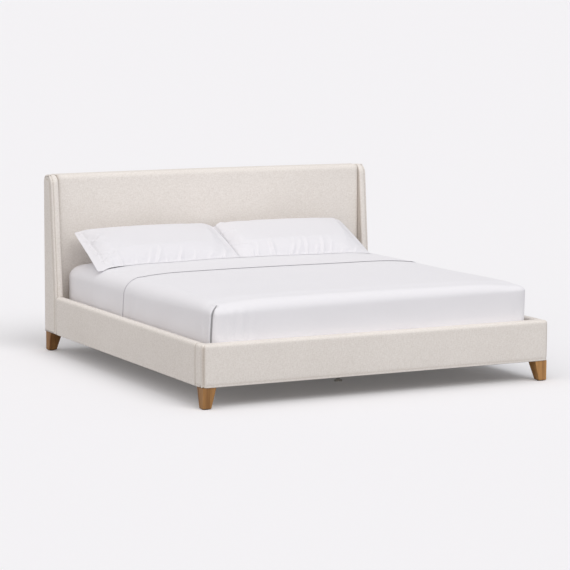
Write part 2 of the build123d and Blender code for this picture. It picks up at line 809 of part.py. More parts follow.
# Countersunk wood screws in the slats, cleats and beam brackets
all_screws = slat_screws + cleat_screws[-1] + cleat_screws[1] + bracket_screws[-1] + bracket_screws[1]
with BuildPart() as wood_screws:
    with Locations(*all_screws):
        Cylinder(screw_diameter / 2, screw_length, align=(Align.CENTER, Align.CENTER, Align.MAX))
        Cone(
            screw_diameter / 2,
            screw_head_diameter / 2,
            screw_head_depth,
            align=(Align.CENTER, Align.CENTER, Align.MAX),
        )
wood_screws.part.label = "wood_screws"
export_step(wood_screws.part, "parts/wood_screws.step")


def crowned_block(grown):
    """The mattress's outer form, grown outward by the layers of cloth on it."""
    half_width = mattress_width / 2 + grown
    half_length = mattress_length / 2 + grown
    bottom = mattress_bottom - grown
    shoulder = mattress_bottom + mattress_height + grown
    slab_side = half_width + mattress_cut_overrun
    slab_end = half_length + mattress_cut_overrun
    fall_across = mattress_crown_across * ((slab_side / half_width) ** 2 - 1)
    fall_along = mattress_crown_along * ((slab_end / half_length) ** 2 - 1)
    with BuildPart() as slab:
        for along, rise in ((-slab_end, -fall_along), (0, mattress_crown_along), (slab_end, -fall_along)):
            side_height = shoulder + rise - fall_across
            with BuildSketch(Plane.XZ.offset(-mattress_middle - along)):
                with BuildLine():
                    ThreePointArc(
                        (-slab_side, side_height),
                        (0, shoulder + rise + mattress_crown_across),
                        (slab_side, side_height),
                    )
                    Polyline(
                        (slab_side, side_height),
                        (slab_side, bottom - mattress_cut_overrun),
                        (-slab_side, bottom - mattress_cut_overrun),
                        (-slab_side, side_height),
                    )
                make_face()
        loft()
    with BuildPart() as block:
        with BuildSketch(Plane.XY.offset(bottom)):
            with Locations((0, mattress_middle)):
                RectangleRounded(2 * half_width, 2 * half_length, mattress_corner_radius + grown)
        extrude(amount=headboard_height - bottom)
        add(slab.part, mode=Mode.INTERSECT)
        fillet(block.faces().sort_by(Axis.Z)[-1].edges(), mattress_top_radius + grown)
        fillet(block.faces().sort_by(Axis.Z)[0].edges(), mattress_bottom_radius + grown)
    return block.part


def cloth_reach(at_top, at_bottom):
    """All that lies footward of a slanting edge, given at the mattress's top and underside."""
    cloth_bottom = mattress_bottom - band_layer * sheet_thickness
    cloth_peak = 2 * (mattress_bottom + mattress_height) - cloth_bottom
    with BuildPart() as reach:
        with BuildSketch(Plane.YZ):
            with BuildLine():
                Polyline(
                    (foot_face, cloth_bottom),
                    (at_bottom, cloth_bottom),
                    (at_top, mattress_bottom + mattress_height),
                    (at_top, cloth_peak),
                    (foot_face, cloth_peak),
                    close=True,
                )
            make_face()
        extrude(amount=outer_side, both=True)
    return reach.part


# Mattress, crowned across and along
mattress_form = crowned_block(0)
with BuildPart() as mattress:
    add(mattress_form)
mattress.part.label = "mattress"
export_step(mattress.part, "parts/mattress.step")

# Fitted sheet, its elastic hem turned under the mattress
fitted_form = crowned_block(fitted_layer * sheet_thickness)
hem_opening_width = mattress_width - 2 * sheet_hem
hem_opening_length = mattress_length - 2 * sheet_hem
with BuildPart() as fitted_sheet:
    add(fitted_form)
    add(mattress_form, mode=Mode.SUBTRACT)
    with BuildSketch(Plane.XY.offset(mattress_bottom - sheet_thickness)):
        with Locations((0, mattress_middle)):
            Rectangle(hem_opening_width, hem_opening_length)
    extrude(amount=sheet_thickness, mode=Mode.SUBTRACT)
fitted_sheet.part.label = "fitted_sheet"
export_step(fitted_sheet.part, "parts/fitted_sheet.step")

# Flat sheet over the foot end, tucked under on three sides, its top turned back as a band
flat_form = crowned_block(flat_layer * sheet_thickness)
band_form = crowned_block(band_layer * sheet_thickness)
with BuildPart() as turned_band:
    add(band_form)
    add(flat_form, mode=Mode.SUBTRACT)
    add(cloth_reach(fold_at_top, fold_at_bottom), mode=Mode.INTERSECT)
    add(cloth_reach(band_hem_at_top, band_hem_at_bottom), mode=Mode.SUBTRACT)
    with BuildSketch(Plane.XY.offset(rail_bottom)):
        Rectangle(2 * outer_side, overall_depth)
    extrude(amount=mattress_bottom + mattress_bottom_radius - rail_bottom, mode=Mode.SUBTRACT)
with BuildPart() as flat_sheet:
    add(flat_form)
    add(fitted_form, mode=Mode.SUBTRACT)
    add(cloth_reach(fold_at_top, fold_at_bottom), mode=Mode.INTERSECT)
    with BuildSketch(Plane.XY.offset(mattress_bottom - flat_layer * sheet_thickness)):
        with Locations((0, mattress_middle)):
            Rectangle(hem_opening_width, hem_opening_length)
    extrude(amount=sheet_thickness, mode=Mode.SUBTRACT)
    add(turned_band.part)
flat_sheet.part.label = "flat_sheet"
export_step(flat_sheet.part, "parts/flat_sheet.step")

def pillow_form(middle_x, turn, skin):
    """A filled pillow leaning back: lens-shaped sections that thin to both ends, long edges drawn in."""
    middle = Plane(
        origin=(middle_x, pillow_centre_y, pillow_centre_z),
        x_dir=tilt_rise.rotate(Axis.Z, turn),
        z_dir=Vector(1, 0, 0).rotate(Axis.Z, turn),
    )
    with BuildPart() as form:
        for place_share, width_share, crown_share in pillow_section_shares:
            half_width = width_share * pillow_width / 2 - 2 * skin
            front = crown_share * pillow_front_crown - skin
            back = crown_share * pillow_back_crown - skin
            with BuildSketch(middle.offset(place_share * (pillow_length / 2 - skin))):
                with BuildLine():
                    ThreePointArc((-half_width, 0), (0, front), (half_width, 0))
                    ThreePointArc((half_width, 0), (0, -back), (-half_width, 0))
                make_face()
        loft()
    return form.part


# Pillows: the filling, and the case it fills
for side, hand in ((-1, "left"), (1, "right")):
    middle_x = pillows_off_centre + side * pillow_step
    filling = pillow_form(middle_x, -side * pillow_turn, pillowcase_thickness)
    with BuildPart() as pillow:
        add(filling)
    pillow.part.label = f"pillow_{hand}"
    export_step(pillow.part, f"parts/{pillow.part.label}.step")

    with BuildPart() as pillowcase:
        add(pillow_form(middle_x, -side * pillow_turn, 0))
        add(filling, mode=Mode.SUBTRACT)
    pillowcase.part.label = f"pillowcase_{hand}"
    export_step(pillowcase.part, f"parts/{pillowcase.part.label}.step")
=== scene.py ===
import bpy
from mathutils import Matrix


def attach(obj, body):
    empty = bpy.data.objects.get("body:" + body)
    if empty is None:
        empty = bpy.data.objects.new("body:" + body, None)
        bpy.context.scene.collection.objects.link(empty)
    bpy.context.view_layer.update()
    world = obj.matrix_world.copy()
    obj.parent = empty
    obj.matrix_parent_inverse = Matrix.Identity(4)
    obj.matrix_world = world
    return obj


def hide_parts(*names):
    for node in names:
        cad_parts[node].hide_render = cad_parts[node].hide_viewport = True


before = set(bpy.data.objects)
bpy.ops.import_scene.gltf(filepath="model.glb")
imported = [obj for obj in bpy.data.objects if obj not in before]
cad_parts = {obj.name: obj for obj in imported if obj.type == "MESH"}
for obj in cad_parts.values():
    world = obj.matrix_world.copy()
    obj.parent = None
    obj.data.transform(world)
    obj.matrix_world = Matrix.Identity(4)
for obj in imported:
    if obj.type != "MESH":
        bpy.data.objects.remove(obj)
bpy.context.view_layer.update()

import math
import random

import bmesh
import bpy
import numpy as np
from mathutils import Euler, Vector
from mathutils.bvhtree import BVHTree

# Studio: a plain pale floor, an even sky and two soft suns, and the camera at the bed's foot corner.
# The eye stands 2.2 m high and far off, so that the bed's lines hardly converge.


def linear(hex_colour):
    """Linear RGBA of an sRGB hex colour such as "d8d0c6"."""
    parts = [int(hex_colour[k:k + 2], 16) / 255 for k in (0, 2, 4)]
    return tuple(p / 12.92 if p <= 0.04045 else ((p + 0.055) / 1.055) ** 2.4 for p in parts) + (1.0,)


def add_node(tree, kind, inputs=None, **settings):
    """Adds one node: settings are its properties, inputs are its values or the sockets linked to it."""
    node = tree.nodes.new(kind)
    for name, value in settings.items():
        setattr(node, name, value)
    for name, value in (inputs or {}).items():
        if isinstance(value, bpy.types.NodeSocket):
            tree.links.new(value, node.inputs[name])
        else:
            node.inputs[name].default_value = value
    return node


def blank_tree(owner):
    """The emptied node tree of a material or world."""
    owner.use_nodes = True
    owner.node_tree.nodes.clear()
    return owner.node_tree


def add_object(name, data):
    """An object with this data, at the origin."""
    obj = bpy.data.objects.new(name, data)
    bpy.context.scene.collection.objects.link(obj)
    return obj


def maths(tree, operation, *values):
    """A maths node's output. Its values are numbers, or the sockets linked to it."""
    return add_node(tree, "ShaderNodeMath", dict(enumerate(values)), operation=operation).outputs[0]


# The focal length and the picture's width are in pixels
focal_length, picture_width, sensor_mm, sight, floor_size = 2333, 570, 36, 900, 700
eye_place, eye_turn = (-6.087, -11.824, 2.197), (82.571, -0.286, -27.142)
eye = add_object("eye", bpy.data.cameras.new("eye"))
eye.location = eye_place
eye.rotation_euler = Euler([math.radians(angle) for angle in eye_turn])
eye.data.sensor_width = sensor_mm
eye.data.lens = focal_length / picture_width * sensor_mm
eye.data.clip_end = sight
bpy.context.scene.camera = eye

floor_mesh = bpy.data.meshes.new("studio_floor")
floor_mesh.from_pydata(
    [(x * floor_size / 2, y * floor_size / 2, 0) for x, y in ((-1, -1), (1, -1), (1, 1), (-1, 1))],
    [], [(0, 1, 2, 3)])
floor = add_object("studio_floor", floor_mesh)
floor_paint = bpy.data.materials.new("matt_floor_paint")
tree = blank_tree(floor_paint)
# Matt emulsion: no shine, only the bed's soft shadow shows on it. The eye sees it near white, with a
# little glow in the shadow, and it throws back less light than it shows, as a large studio's floor does
floor_rays = add_node(tree, "ShaderNodeLightPath")
bounce = add_node(tree, "ShaderNodeBsdfDiffuse", {"Color": linear("b0b0b2"), "Roughness": 0.0})
paint = add_node(tree, "ShaderNodeBsdfDiffuse", {"Color": (0.850, 0.846, 0.866, 1.0), "Roughness": 0.0})
glow = add_node(tree, "ShaderNodeEmission", {"Color": linear("f5f4f6"), "Strength": 0.11})
shown = add_node(tree, "ShaderNodeAddShader", {0: paint.outputs[0], 1: glow.outputs[0]})
floor_mix = add_node(tree, "ShaderNodeMixShader", {
    0: floor_rays.outputs["Is Camera Ray"], 1: bounce.outputs[0], 2: shown.outputs[0]})
add_node(tree, "ShaderNodeOutputMaterial", {"Surface": floor_mix.outputs[0]})
floor_mesh.materials.append(floor_paint)

sky = bpy.data.worlds.new("studio_sky")
tree = blank_tree(sky)
rays = add_node(tree, "ShaderNodeLightPath")
seen = add_node(tree, "ShaderNodeBackground", {"Color": linear("f5f4f6"), "Strength": 1.0})
lit = add_node(tree, "ShaderNodeBackground", {"Color": linear("f6f6f8"), "Strength": 0.565})
camera_or_glossy = maths(tree, "MAXIMUM", rays.outputs["Is Camera Ray"], rays.outputs["Is Glossy Ray"])
all_seen = maths(tree, "MAXIMUM", camera_or_glossy, rays.outputs["Is Transmission Ray"])
mixed = add_node(tree, "ShaderNodeMixShader", {
    0: all_seen, 1: lit.outputs[0], 2: seen.outputs[0]})
add_node(tree, "ShaderNodeOutputWorld", {"Surface": mixed.outputs[0]})
bpy.context.scene.world = sky
bpy.context.scene.view_settings.view_transform = "Standard"

for name, strength, spread, tilt, turn, tint in (
        ("key_sun", 1.04, 38, 41, 14, "ffffff"), ("fill_sun", 0.955, 80, 55, -60, "fff8f1")):
    lamp = add_object(name, bpy.data.lights.new(name, "SUN"))
    lamp.data.energy = strength
    lamp.data.angle = math.radians(spread)
    lamp.data.color = linear(tint)[:3]
    lamp.rotation_euler = Euler((math.radians(tilt), 0, math.radians(turn)))


# Bed frame timber: sawn pine stiles, rails, cores, cleats and centre legs, glued and screwed.
# Nobody sees it in use, so it is left as the saw left it, with growth rings along each piece.
def new_material(name):
    """A material, its empty tree, and where each point lies on its object, in metres."""
    material = bpy.data.materials.new(name)
    tree = blank_tree(material)
    return material, tree, add_node(tree, "ShaderNodeTexCoord").outputs["Object"]


def noise(tree, place, scale, detail, **more):
    """A noise node with about scale cells to the metre; more holds its other inputs."""
    return add_node(tree, "ShaderNodeTexNoise", {"Vector": place, "Scale": scale, "Detail": detail, **more})


def ranged(tree, value, start, end, low, high):
    """Turns start to end into low to high, and holds it there."""
    return add_node(tree, "ShaderNodeMapRange", {
        "Value": value, "From Min": start, "From Max": end, "To Min": low, "To Max": high}).outputs[0]


def surfaced(tree, colour, roughness, bump, more=None):
    """Ends a material with its shader. bump is its height socket, strength and distance in metres."""
    rise = add_node(tree, "ShaderNodeBump", dict(zip(("Height", "Strength", "Distance"), bump)))
    shader = add_node(tree, "ShaderNodeBsdfPrincipled", {
        "Base Color": colour, "Roughness": roughness, "Normal": rise.outputs[0], **(more or {})})
    add_node(tree, "ShaderNodeOutputMaterial", {"Surface": shader.outputs[0]})


def wood(name, light, dark, ring_mm, along, roughness, coat=0.0):
    """Solid timber: growth rings stretched along one axis, with fine pores that follow them."""
    material, tree, place = new_material(name)
    stretch = [1.0, 1.0, 1.0]
    stretch["XYZ".index(along)] = 0.06
    grain = add_node(tree, "ShaderNodeMapping", {"Vector": place, "Scale": stretch}).outputs[0]
    drift = noise(tree, grain, 6.0, 3.0).outputs["Color"]
    warp = add_node(tree, "ShaderNodeVectorMath", {0: drift, 1: (0.06, 0.06, 0.06)}, operation="MULTIPLY")
    bent = add_node(tree, "ShaderNodeVectorMath", {0: grain, 1: warp.outputs[0]}, operation="ADD").outputs[0]
    rings = noise(tree, bent, 1000 / ring_mm / 6, 5.0, Roughness=0.62)
    pores = noise(tree, bent, 1000 / ring_mm, 4.0, Roughness=0.7).outputs[0]
    tone = add_node(tree, "ShaderNodeValToRGB", {"Fac": rings.outputs[0]})
    for n, (position, shade) in enumerate(((0.34, dark), (0.62, light))):
        tone.color_ramp.elements[n].position, tone.color_ramp.elements[n].color = position, linear(shade)
    fleck = ranged(tree, pores, 0.35, 0.6, 0.8, 1.04)
    colour = add_node(tree, "ShaderNodeHueSaturation", {"Color": tone.outputs[0], "Value": fleck})
    surfaced(tree, colour.outputs[0], roughness, (pores, 0.25, 0.0006),
             {"Coat Weight": coat, "Coat Roughness": 0.3})
    return material


def dress(material, *names):
    """Gives a material to CAD nodes whose own shape is right."""
    for name in names:
        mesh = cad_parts[name].data
        mesh.materials.clear()
        mesh.materials.append(material)


pine_upright = wood("sawn_pine_upright", "dcc195", "b98f5c", 9, "Z", 0.72)
pine_across = wood("sawn_pine_across", "dcc195", "b98f5c", 9, "X", 0.72)
pine_along = wood("sawn_pine_along", "d9bd90", "b58b58", 9, "Y", 0.72)
dress(pine_upright, "headboard_stile_left", "headboard_stile_right", "wing_core_left", "wing_core_right",
      "centre_leg_1", "centre_leg_2", "centre_leg_3")
dress(pine_across, "headboard_top_rail", "headboard_bottom_rail", "foot_rail")
dress(pine_along, "side_rail_left", "side_rail_right", "slat_cleat_left", "slat_cleat_right", "centre_beam")

# Headboard: a plywood face board on the frame carries a foam pad, and one length of ivory chenille is
# drawn over it, round the top and down to the back, where a lined board closes the frame.
def mixed_colour(tree, factor, one, two, **settings):
    """The colour that lies by factor between one and two."""
    return add_node(tree, "ShaderNodeMix", {0: factor, 6: one, 7: two}, data_type="RGBA", **settings).outputs[2]


def woven(name, light, dark, thread_mm, mottle_mm, bump_mm, sheen=0.25, roughness=0.9):
    """Woven cloth: threads cross in two directions on any face, and the yarn's colour drifts a little.
    Real threads are half a millimetre, too fine to show, so they are drawn as coarse as thread_mm."""
    material, tree, place = new_material(name)
    turns = 1000 / thread_mm * math.pi / 10
    bands = [add_node(tree, "ShaderNodeTexWave", {
        "Vector": place, "Scale": turns, "Distortion": 1.6, "Detail": 2.0, "Detail Scale": 0.6},
        bands_direction=axis).outputs[1] for axis in "XYZ"]
    weave = maths(tree, "MULTIPLY", maths(tree, "MULTIPLY", *bands[:2]), bands[2])
    slubs = []
    for stretch in ((1.0, 1.0, 0.25), (0.25, 0.25, 1.0)):
        yarn = add_node(tree, "ShaderNodeMapping", {"Vector": place, "Scale": stretch}).outputs[0]
        slubs.append(noise(tree, yarn, 1000 / mottle_mm, 5.0, Roughness=0.7).outputs[0])
    tufts = maths(tree, "ADD", *slubs)
    drift = noise(tree, place, 2.2, 2.0).outputs[0]
    blend = ranged(tree, maths(tree, "MULTIPLY_ADD", drift, 0.22, tufts), 0.84, 1.38, 0.0, 1.0)
    cloth = mixed_colour(tree, blend, linear(dark), linear(light))
    # Painted shade: where a seam draws the cloth in, light bounces from pile to pile, so the fold is painted
    # darker and warmer
    painted_seam_shade = add_node(tree, "ShaderNodeAttribute", attribute_name="seam").outputs["Fac"]
    colour = mixed_colour(tree, maths(tree, "MULTIPLY", painted_seam_shade, 0.62), cloth, linear("988b7b"))
    height = maths(tree, "MULTIPLY_ADD", tufts, 1.3, weave)
    surfaced(tree, colour, roughness, (height, 0.6, bump_mm / 1000),
             {"Sheen Weight": sheen, "Sheen Roughness": 0.5, "Specular IOR Level": 0.25})
    return material


def points_of(obj):
    """An object's points, a row of x, y and z for each."""
    return np.array([v.co for v in obj.data.vertices])


def move_points(obj, place):
    """Moves an object's points to these places."""
    obj.data.vertices.foreach_set("co", place.astype(np.float32).ravel())
    obj.data.update()


def held(values):
    """The values, held between 0 and 1."""
    return np.clip(values, 0, 1)


def bell(off, width):
    """1 where off is 0, falling off over about the given width."""
    return np.exp(-(off / width) ** 2)


def paint_seam_shade(obj, weight):
    """Stores the painted shade of seams and joints, 0 to 1, in the seam attribute, worked out from each point's
    place.
    """
    depth = obj.data.attributes.new("seam", "FLOAT", "POINT")
    depth.data.foreach_set("value", held(weight(points_of(obj))).astype(np.float32))


def mesh_object(name, points, faces, materials=()):
    """An object at the origin from points in metres and faces, shaded smooth."""
    mesh = bpy.data.meshes.new(name)
    mesh.from_pydata([tuple(map(float, p)) for p in points], [], [tuple(map(int, f)) for f in faces])
    mesh.validate()
    mesh.shade_smooth()
    for material in materials:
        mesh.materials.append(material)
    return add_object(name, mesh)


def rounded_path(corners, radii, step):
    """A closed run of points round a flat outline, its corners rounded and its sides cut at about step."""
    corners = [np.array(c, float) for c in corners]
    points = []
    for k, corner in enumerate(corners):
        before, after = corners[k - 1], corners[(k + 1) % len(corners)]
        into, out = before - corner, after - corner
        a, b = np.linalg.norm(into), np.linalg.norm(out)
        into, out = into / a, out / b
        angle = math.acos(np.clip(into @ out, -1, 1))
        reach = min(radii[k] / math.tan(angle / 2), a / 2.01, b / 2.01) if radii[k] else 0
        if not reach:
            points.append(corner)
        else:
            bisector = (into + out) / np.linalg.norm(into + out)
            centre = corner + bisector * reach / math.cos(angle / 2)
            start = corner + into * reach - centre
            end = corner + out * reach - centre
            turn = math.atan2(start[0] * end[1] - start[1] * end[0], start @ end)
            count = max(3, round(abs(turn) * 5))
            for n in range(count + 1):
                c, s = math.cos(turn * n / count), math.sin(turn * n / count)
                points.append(centre + np.array([c * start[0] - s * start[1], s * start[0] + c * start[1]]))
    full = []
    for k, p in enumerate(points):
        q = points[(k + 1) % len(points)]
        pieces = max(1, round(np.linalg.norm(q - p) / step))
        full += [p + (q - p) * n / pieces for n in range(pieces)]
    return np.array(full)


def loft(name, rings, materials):
    """Skins a row of rings of equal count; the two ends are closed by a face each."""
    rings = np.asarray(rings, float)
    count, around = rings.shape[:2]
    faces = [(k * around + j, k * around + (j + 1) % around, (k + 1) * around + (j + 1) % around,
              (k + 1) * around + j) for k in range(count - 1) for j in range(around)]
    faces += [tuple(range(around))[::-1], tuple(range((count - 1) * around, count * around))]
    obj = mesh_object(name, rings.reshape(-1, 3), faces, materials)
    face_out(obj)
    return obj


def face_out(obj):
    """Merges doubled points and turns every face outwards."""
    work = bmesh.new()
    work.from_mesh(obj.data)
    bmesh.ops.remove_doubles(work, verts=work.verts, dist=1e-6)
    bmesh.ops.recalc_face_normals(work, faces=work.faces)
    if work.calc_volume(signed=True) < 0:
        bmesh.ops.reverse_faces(work, faces=work.faces)
    work.to_mesh(obj.data)
    work.free()
    obj.data.shade_smooth()


def soft_waves(points, size, height, seed, count=9):
    """A smooth, repeatable unevenness of about the given wavelength, for padding and cloth."""
    dice = random.Random(seed)
    total = np.zeros(len(points))
    for _ in range(count):
        way = np.array([dice.gauss(0, 1) for _ in range(3)])
        way *= 2 * math.pi / size / np.linalg.norm(way) * dice.uniform(0.6, 1.5)
        total += np.sin(points @ way + dice.uniform(0, 2 * math.pi))
    return total * height / count ** 0.5


def rounded_run(start, end, radius, plain, turns, count):
    """Places along a piece: turns of them over each rounded end, count over its plain middle."""
    turn = radius * (1 - np.cos(np.linspace(0, math.pi / 2, turns)))
    return np.concatenate([start + turn, np.linspace(start + plain, end - plain, count), end - turn[::-1]])


def rolled_in(from_end, radius):
    """How far a rounded end draws the skin in, at a distance from that end."""
    edge = max(0.0, radius - from_end)
    return radius - math.sqrt(max(0.0, radius ** 2 - edge ** 2))


chenille = woven("ivory_chenille", "f4efea", "dfd8d1", 4.0, 3.6, 0.5, sheen=0.05)
lining = woven("woven_back_lining", "c9c1b4", "b3aa9c", 2.4, 7, 0.5, sheen=0.1)
plywood = wood("poplar_plywood", "dcc7a0", "c4a577", 22, "X", 0.7)
dress(plywood, "headboard_face_board")

pad_front, pad_back, board_plane, soft_plane = 0.997, 1.110, 1.041, 1.03
pad_foot, pad_head, frame_head, half_pad = 0.268, 1.058, 1.036, 1.011
end_round, swell, top_sag = 0.010, 0.006, 0.004
pad_middle, half_high = (pad_head + pad_foot) / 2, (pad_head - pad_foot) / 2
section = rounded_path(
    [(pad_front, pad_foot), (board_plane, pad_foot), (board_plane, frame_head), (pad_back, frame_head),
     (pad_back, pad_head), (pad_front, pad_head)],
    [0.008, 0.001, 0.001, 0.002, 0.016, 0.030], 0.014)
rings = []
for x in rounded_run(-half_pad, half_pad, end_round, 0.022, 7, 110):
    y, z = section[:, 0].copy(), section[:, 1].copy()
    front = held((board_plane - y) / (board_plane - pad_front))
    high = held((z - pad_foot) / (pad_head - pad_foot))
    y += front * (swell * ((z - pad_middle) / half_high) ** 2 + rolled_in(half_pad - abs(x), end_round))
    z -= high ** 6 * top_sag * (x / half_pad) ** 2
    rings.append(np.column_stack([np.full(len(y), x), y, z]))
cushion = loft("headboard_upholstery", rings, [chenille])
place = points_of(cushion)
soft = held((soft_plane - place[:, 1]) / 0.03) * held((half_pad - np.abs(place[:, 0])) / 0.05)
place[:, 1] += soft * soft_waves(place, 0.34, 0.0007, 5)
move_points(cushion, place)
# Painted shade on the panel's front and top beside each wing
paint_seam_shade(cushion, lambda place: 0.6 * bell(half_pad - np.abs(place[:, 0]), 0.011)
          * (place[:, 1] < soft_plane))
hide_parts("headboard_cushion")
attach(cushion, "bed_frame")

back_foot, back_round = 0.114, 0.004
back_middle, half_back = (frame_head + back_foot) / 2, (frame_head - back_foot) / 2
back_outline = rounded_path([(-half_pad, back_foot), (half_pad, back_foot), (half_pad, frame_head),
                             (-half_pad, frame_head)], [back_round] * 4, 0.03)
rings = []
for drawn, y in ((0.0, 1.1071), (0.0, 1.1085), (0.0006, 1.1096), (0.0018, 1.1100), (0.012, 1.1101)):
    flat = back_outline * (1 - np.array([drawn / half_pad, drawn / half_back]))
    flat[:, 1] += back_middle * drawn / half_back
    rings.append(np.column_stack([flat[:, 0], np.full(len(flat), y), flat[:, 1]]))
back_panel = loft("headboard_back_panel", rings, [lining])
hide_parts("headboard_back_cover")
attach(back_panel, "bed_frame")


# Wings: a board core in foam, covered in the same chenille. The cover's front band is sewn to its outer
# side with a felled seam, so two fine lines run down the outer front edge and over the top.
def slab(name, rows, stations, side, crown, sewn_run, sunk, materials):
    """A padded board: rows of front-to-back points, drawn in station by station across its thickness,
    and further in along the sewn run. sunk(place) says how deep the outer side lies under its plane."""
    rows = np.asarray(rows, float)
    high, wide = rows.shape[:2]
    order = [(i, 0) for i in range(high)] + [(high - 1, j) for j in range(1, wide)]
    order += [(i, wide - 1) for i in range(high - 2, -1, -1)] + [(0, j) for j in range(wide - 2, 0, -1)]
    rim = np.array([rows[i, j] for i, j in order])
    along = np.roll(rim, -1, 0) - np.roll(rim, 1, 0)
    inward = np.column_stack([along[:, 1], -along[:, 0]])
    inward /= np.linalg.norm(inward, axis=1)[:, None] + 1e-12
    if ((rim.mean(0) - rim) * inward).sum() < 0:
        inward = -inward
    points, faces, loops = [], [], []
    sewn = [float(np.min(np.hypot(*(sewn_run - p).T)) < 0.006) for p in rim]
    for x, drawn, valley in stations:
        loops.append(range(len(points), len(points) + len(rim)))
        points += [(side * x, *(p + n * (drawn + valley * near))) for p, n, near in zip(rim, inward, sewn)]
    for one, two in zip(loops, loops[1:]):
        faces += [(one[k], one[(k + 1) % len(rim)], two[(k + 1) % len(rim)], two[k]) for k in range(len(rim))]
    for loop_ids, bulge in ((loops[0], -crown), (loops[-1], crown)):
        number = {place: loop_ids[k] for k, place in enumerate(order)}
        for i in range(1, high - 1):
            first, last = (np.array(points[number[i, j]]) for j in (0, wide - 1))
            for j in range(1, wide - 1):
                t = j / (wide - 1)
                from_nose = (rows[i, j, 0] - rows[i, 0, 0]) / (rows[i, wide - 1, 0] - rows[i, 0, 0])
                spot = first[1:] + (last[1:] - first[1:]) * from_nose
                edge = min(i, high - 1 - i, j, wide - 1 - j)
                swell = bulge * min(1.0, 6 * t * (1 - t)) * min(1.0, 0.1 * edge)
                swell -= sunk(spot) * min(1.0, 0.5 * edge) if bulge > 0 else 0.0
                number[i, j] = len(points)
                points.append((first[0] + side * swell, *spot))
        faces += [(number[i, j], number[i, j + 1], number[i + 1, j + 1], number[i + 1, j])
                  for i in range(high - 1) for j in range(wide - 1)]
    obj = mesh_object(name, points, faces, materials)
    face_out(obj)
    return obj


wing_foot, wing_head, rail_head = 0.114, 1.054, 0.339
wing_back, wing_nose, wing_top_nose = 1.110, 0.925, 0.991
wing_inner, wing_outer, strip_wide, strip_deep, sewn_deep = 1.011, 1.059, 0.030, 0.0022, 0.0024
inner_round, outer_round, outer_draw, head_band, hair = 0.011, 0.008, 0.007, 0.070, 1e-6
path = rounded_path([(wing_back, wing_foot), (wing_back, wing_head), (wing_top_nose, wing_head),
                     (wing_nose, rail_head), (wing_nose, wing_foot)], [0, 0.044, 0.058, 0.05, 0], 0.004)
top_run = np.where(path[:, 1] > wing_head - hair)[0]
back_side, front_side = path[:top_run[0] + 1], path[top_run[-1]:]
front_side = front_side[front_side[:, 0] < np.interp(front_side[:, 1], [wing_foot, wing_head], [0.93, 1.03])]
front_side = front_side[np.argsort(front_side[:, 1])]
rows = []
for z in np.concatenate([np.linspace(wing_foot, wing_head - head_band, 150),
                         wing_head - 0.067 * (1 - np.sin(np.linspace(0.03, math.pi / 2, 26)))]):
    nose = np.interp(z, front_side[:, 1], front_side[:, 0])
    heel = np.interp(z, back_side[:, 1], back_side[:, 0])
    rows.append([(nose + (heel - nose) * t, z) for t in np.linspace(0, 1, 40) ** 1.25])
front_run = np.vstack([front_side, path[top_run]])
# Each station across the wing has its place, how far its rim is drawn in, and how much further at the seam
wing_stations = [(wing_inner + inner_round * (1 - math.cos(a)), inner_round * (1 - math.sin(a)), 0.0)
                 for a in np.linspace(0, math.pi / 2, 7)]
wing_stations += [(1.029, 0.0, 0.0), (1.036, 0.0, 0.0), (1.041, 0.0, 0.0004), (1.0436, 0.0, 0.0016),
                  (1.0452, 0.0, 0.0045), (1.0468, 0.0, 0.0052), (1.0485, 0.0, 0.0036)]
wing_stations += [(wing_outer - outer_round * (1 - math.cos(a)), outer_draw * (1 - math.sin(a)), 0.0035)
                  for a in np.linspace(math.pi / 2, 0, 6)]


def felled_strip(spot):
    """How deep the outer side lies at a place: a flat strip along the front and over the top, with a sewn
    valley on its inner line."""
    off = np.min(np.hypot(front_run[:, 0] - spot[0], front_run[:, 1] - spot[1])) - strip_wide
    return strip_deep / (1 + math.exp(off / 0.0016)) + sewn_deep * math.exp(-(off / 0.0034) ** 2)


def wing_seam_shade(place):
    """Painted shade on the two sewn lines of the felled strip, the strip between them, and the joint with the
    headboard.
    """
    off = np.min([np.hypot(place[:, 1] - y, place[:, 2] - z) for y, z in front_run], axis=0)
    wide = np.abs(place[:, 0])
    side_line = bell(off - strip_wide, 0.0042) * (wide > 1.054)
    front_line = bell(wide - 1.0462, 0.0022) * (off < 0.012)
    strip = 0.13 * (wide > 1.0462) * (off < strip_wide)
    inner_line = 0.8 * bell(wide - wing_inner, 0.004)
    return np.maximum.reduce([0.5 * side_line, 0.6 * front_line, strip, inner_line])


# Polyester sewing thread in the cover's colour, lockstitched: at 8 mm a stitch is a little longer than
# the real 5 mm, so that it shows
thread = woven("ivory_polyester_thread", "ece5dc", "d6cdc2", 0.8, 1.2, 0.05, sheen=0.1, roughness=0.7)

stitch_tree = bpy.data.node_groups.new("run_of_stitches", "GeometryNodeTree")
stitch_tree.interface.new_socket("Path", in_out="INPUT", socket_type="NodeSocketGeometry")
for name in ("Pitch", "Length", "Thickness"):
    stitch_tree.interface.new_socket(name, in_out="INPUT", socket_type="NodeSocketFloat")
stitch_tree.interface.new_socket("Thread", in_out="INPUT", socket_type="NodeSocketMaterial")
stitch_tree.interface.new_socket("Stitches", in_out="OUTPUT", socket_type="NodeSocketGeometry")
given = add_node(stitch_tree, "NodeGroupInput")
run = add_node(stitch_tree, "GeometryNodeMeshToCurve", {"Mesh": given.outputs["Path"]})
spaced = add_node(stitch_tree, "GeometryNodeResampleCurve", {
    "Curve": run.outputs[0], "Length": given.outputs["Pitch"]}, mode="LENGTH")
bead = add_node(stitch_tree, "GeometryNodeMeshUVSphere", {"Segments": 6, "Rings": 4, "Radius": 0.5})
sizes = add_node(stitch_tree, "ShaderNodeCombineXYZ", {
    0: given.outputs["Thickness"], 1: given.outputs["Thickness"], 2: given.outputs["Length"]})
stitch = add_node(stitch_tree, "GeometryNodeTransform", {"Geometry": bead.outputs[0], "Scale": sizes.outputs[0]})
tangent = add_node(stitch_tree, "GeometryNodeInputTangent")
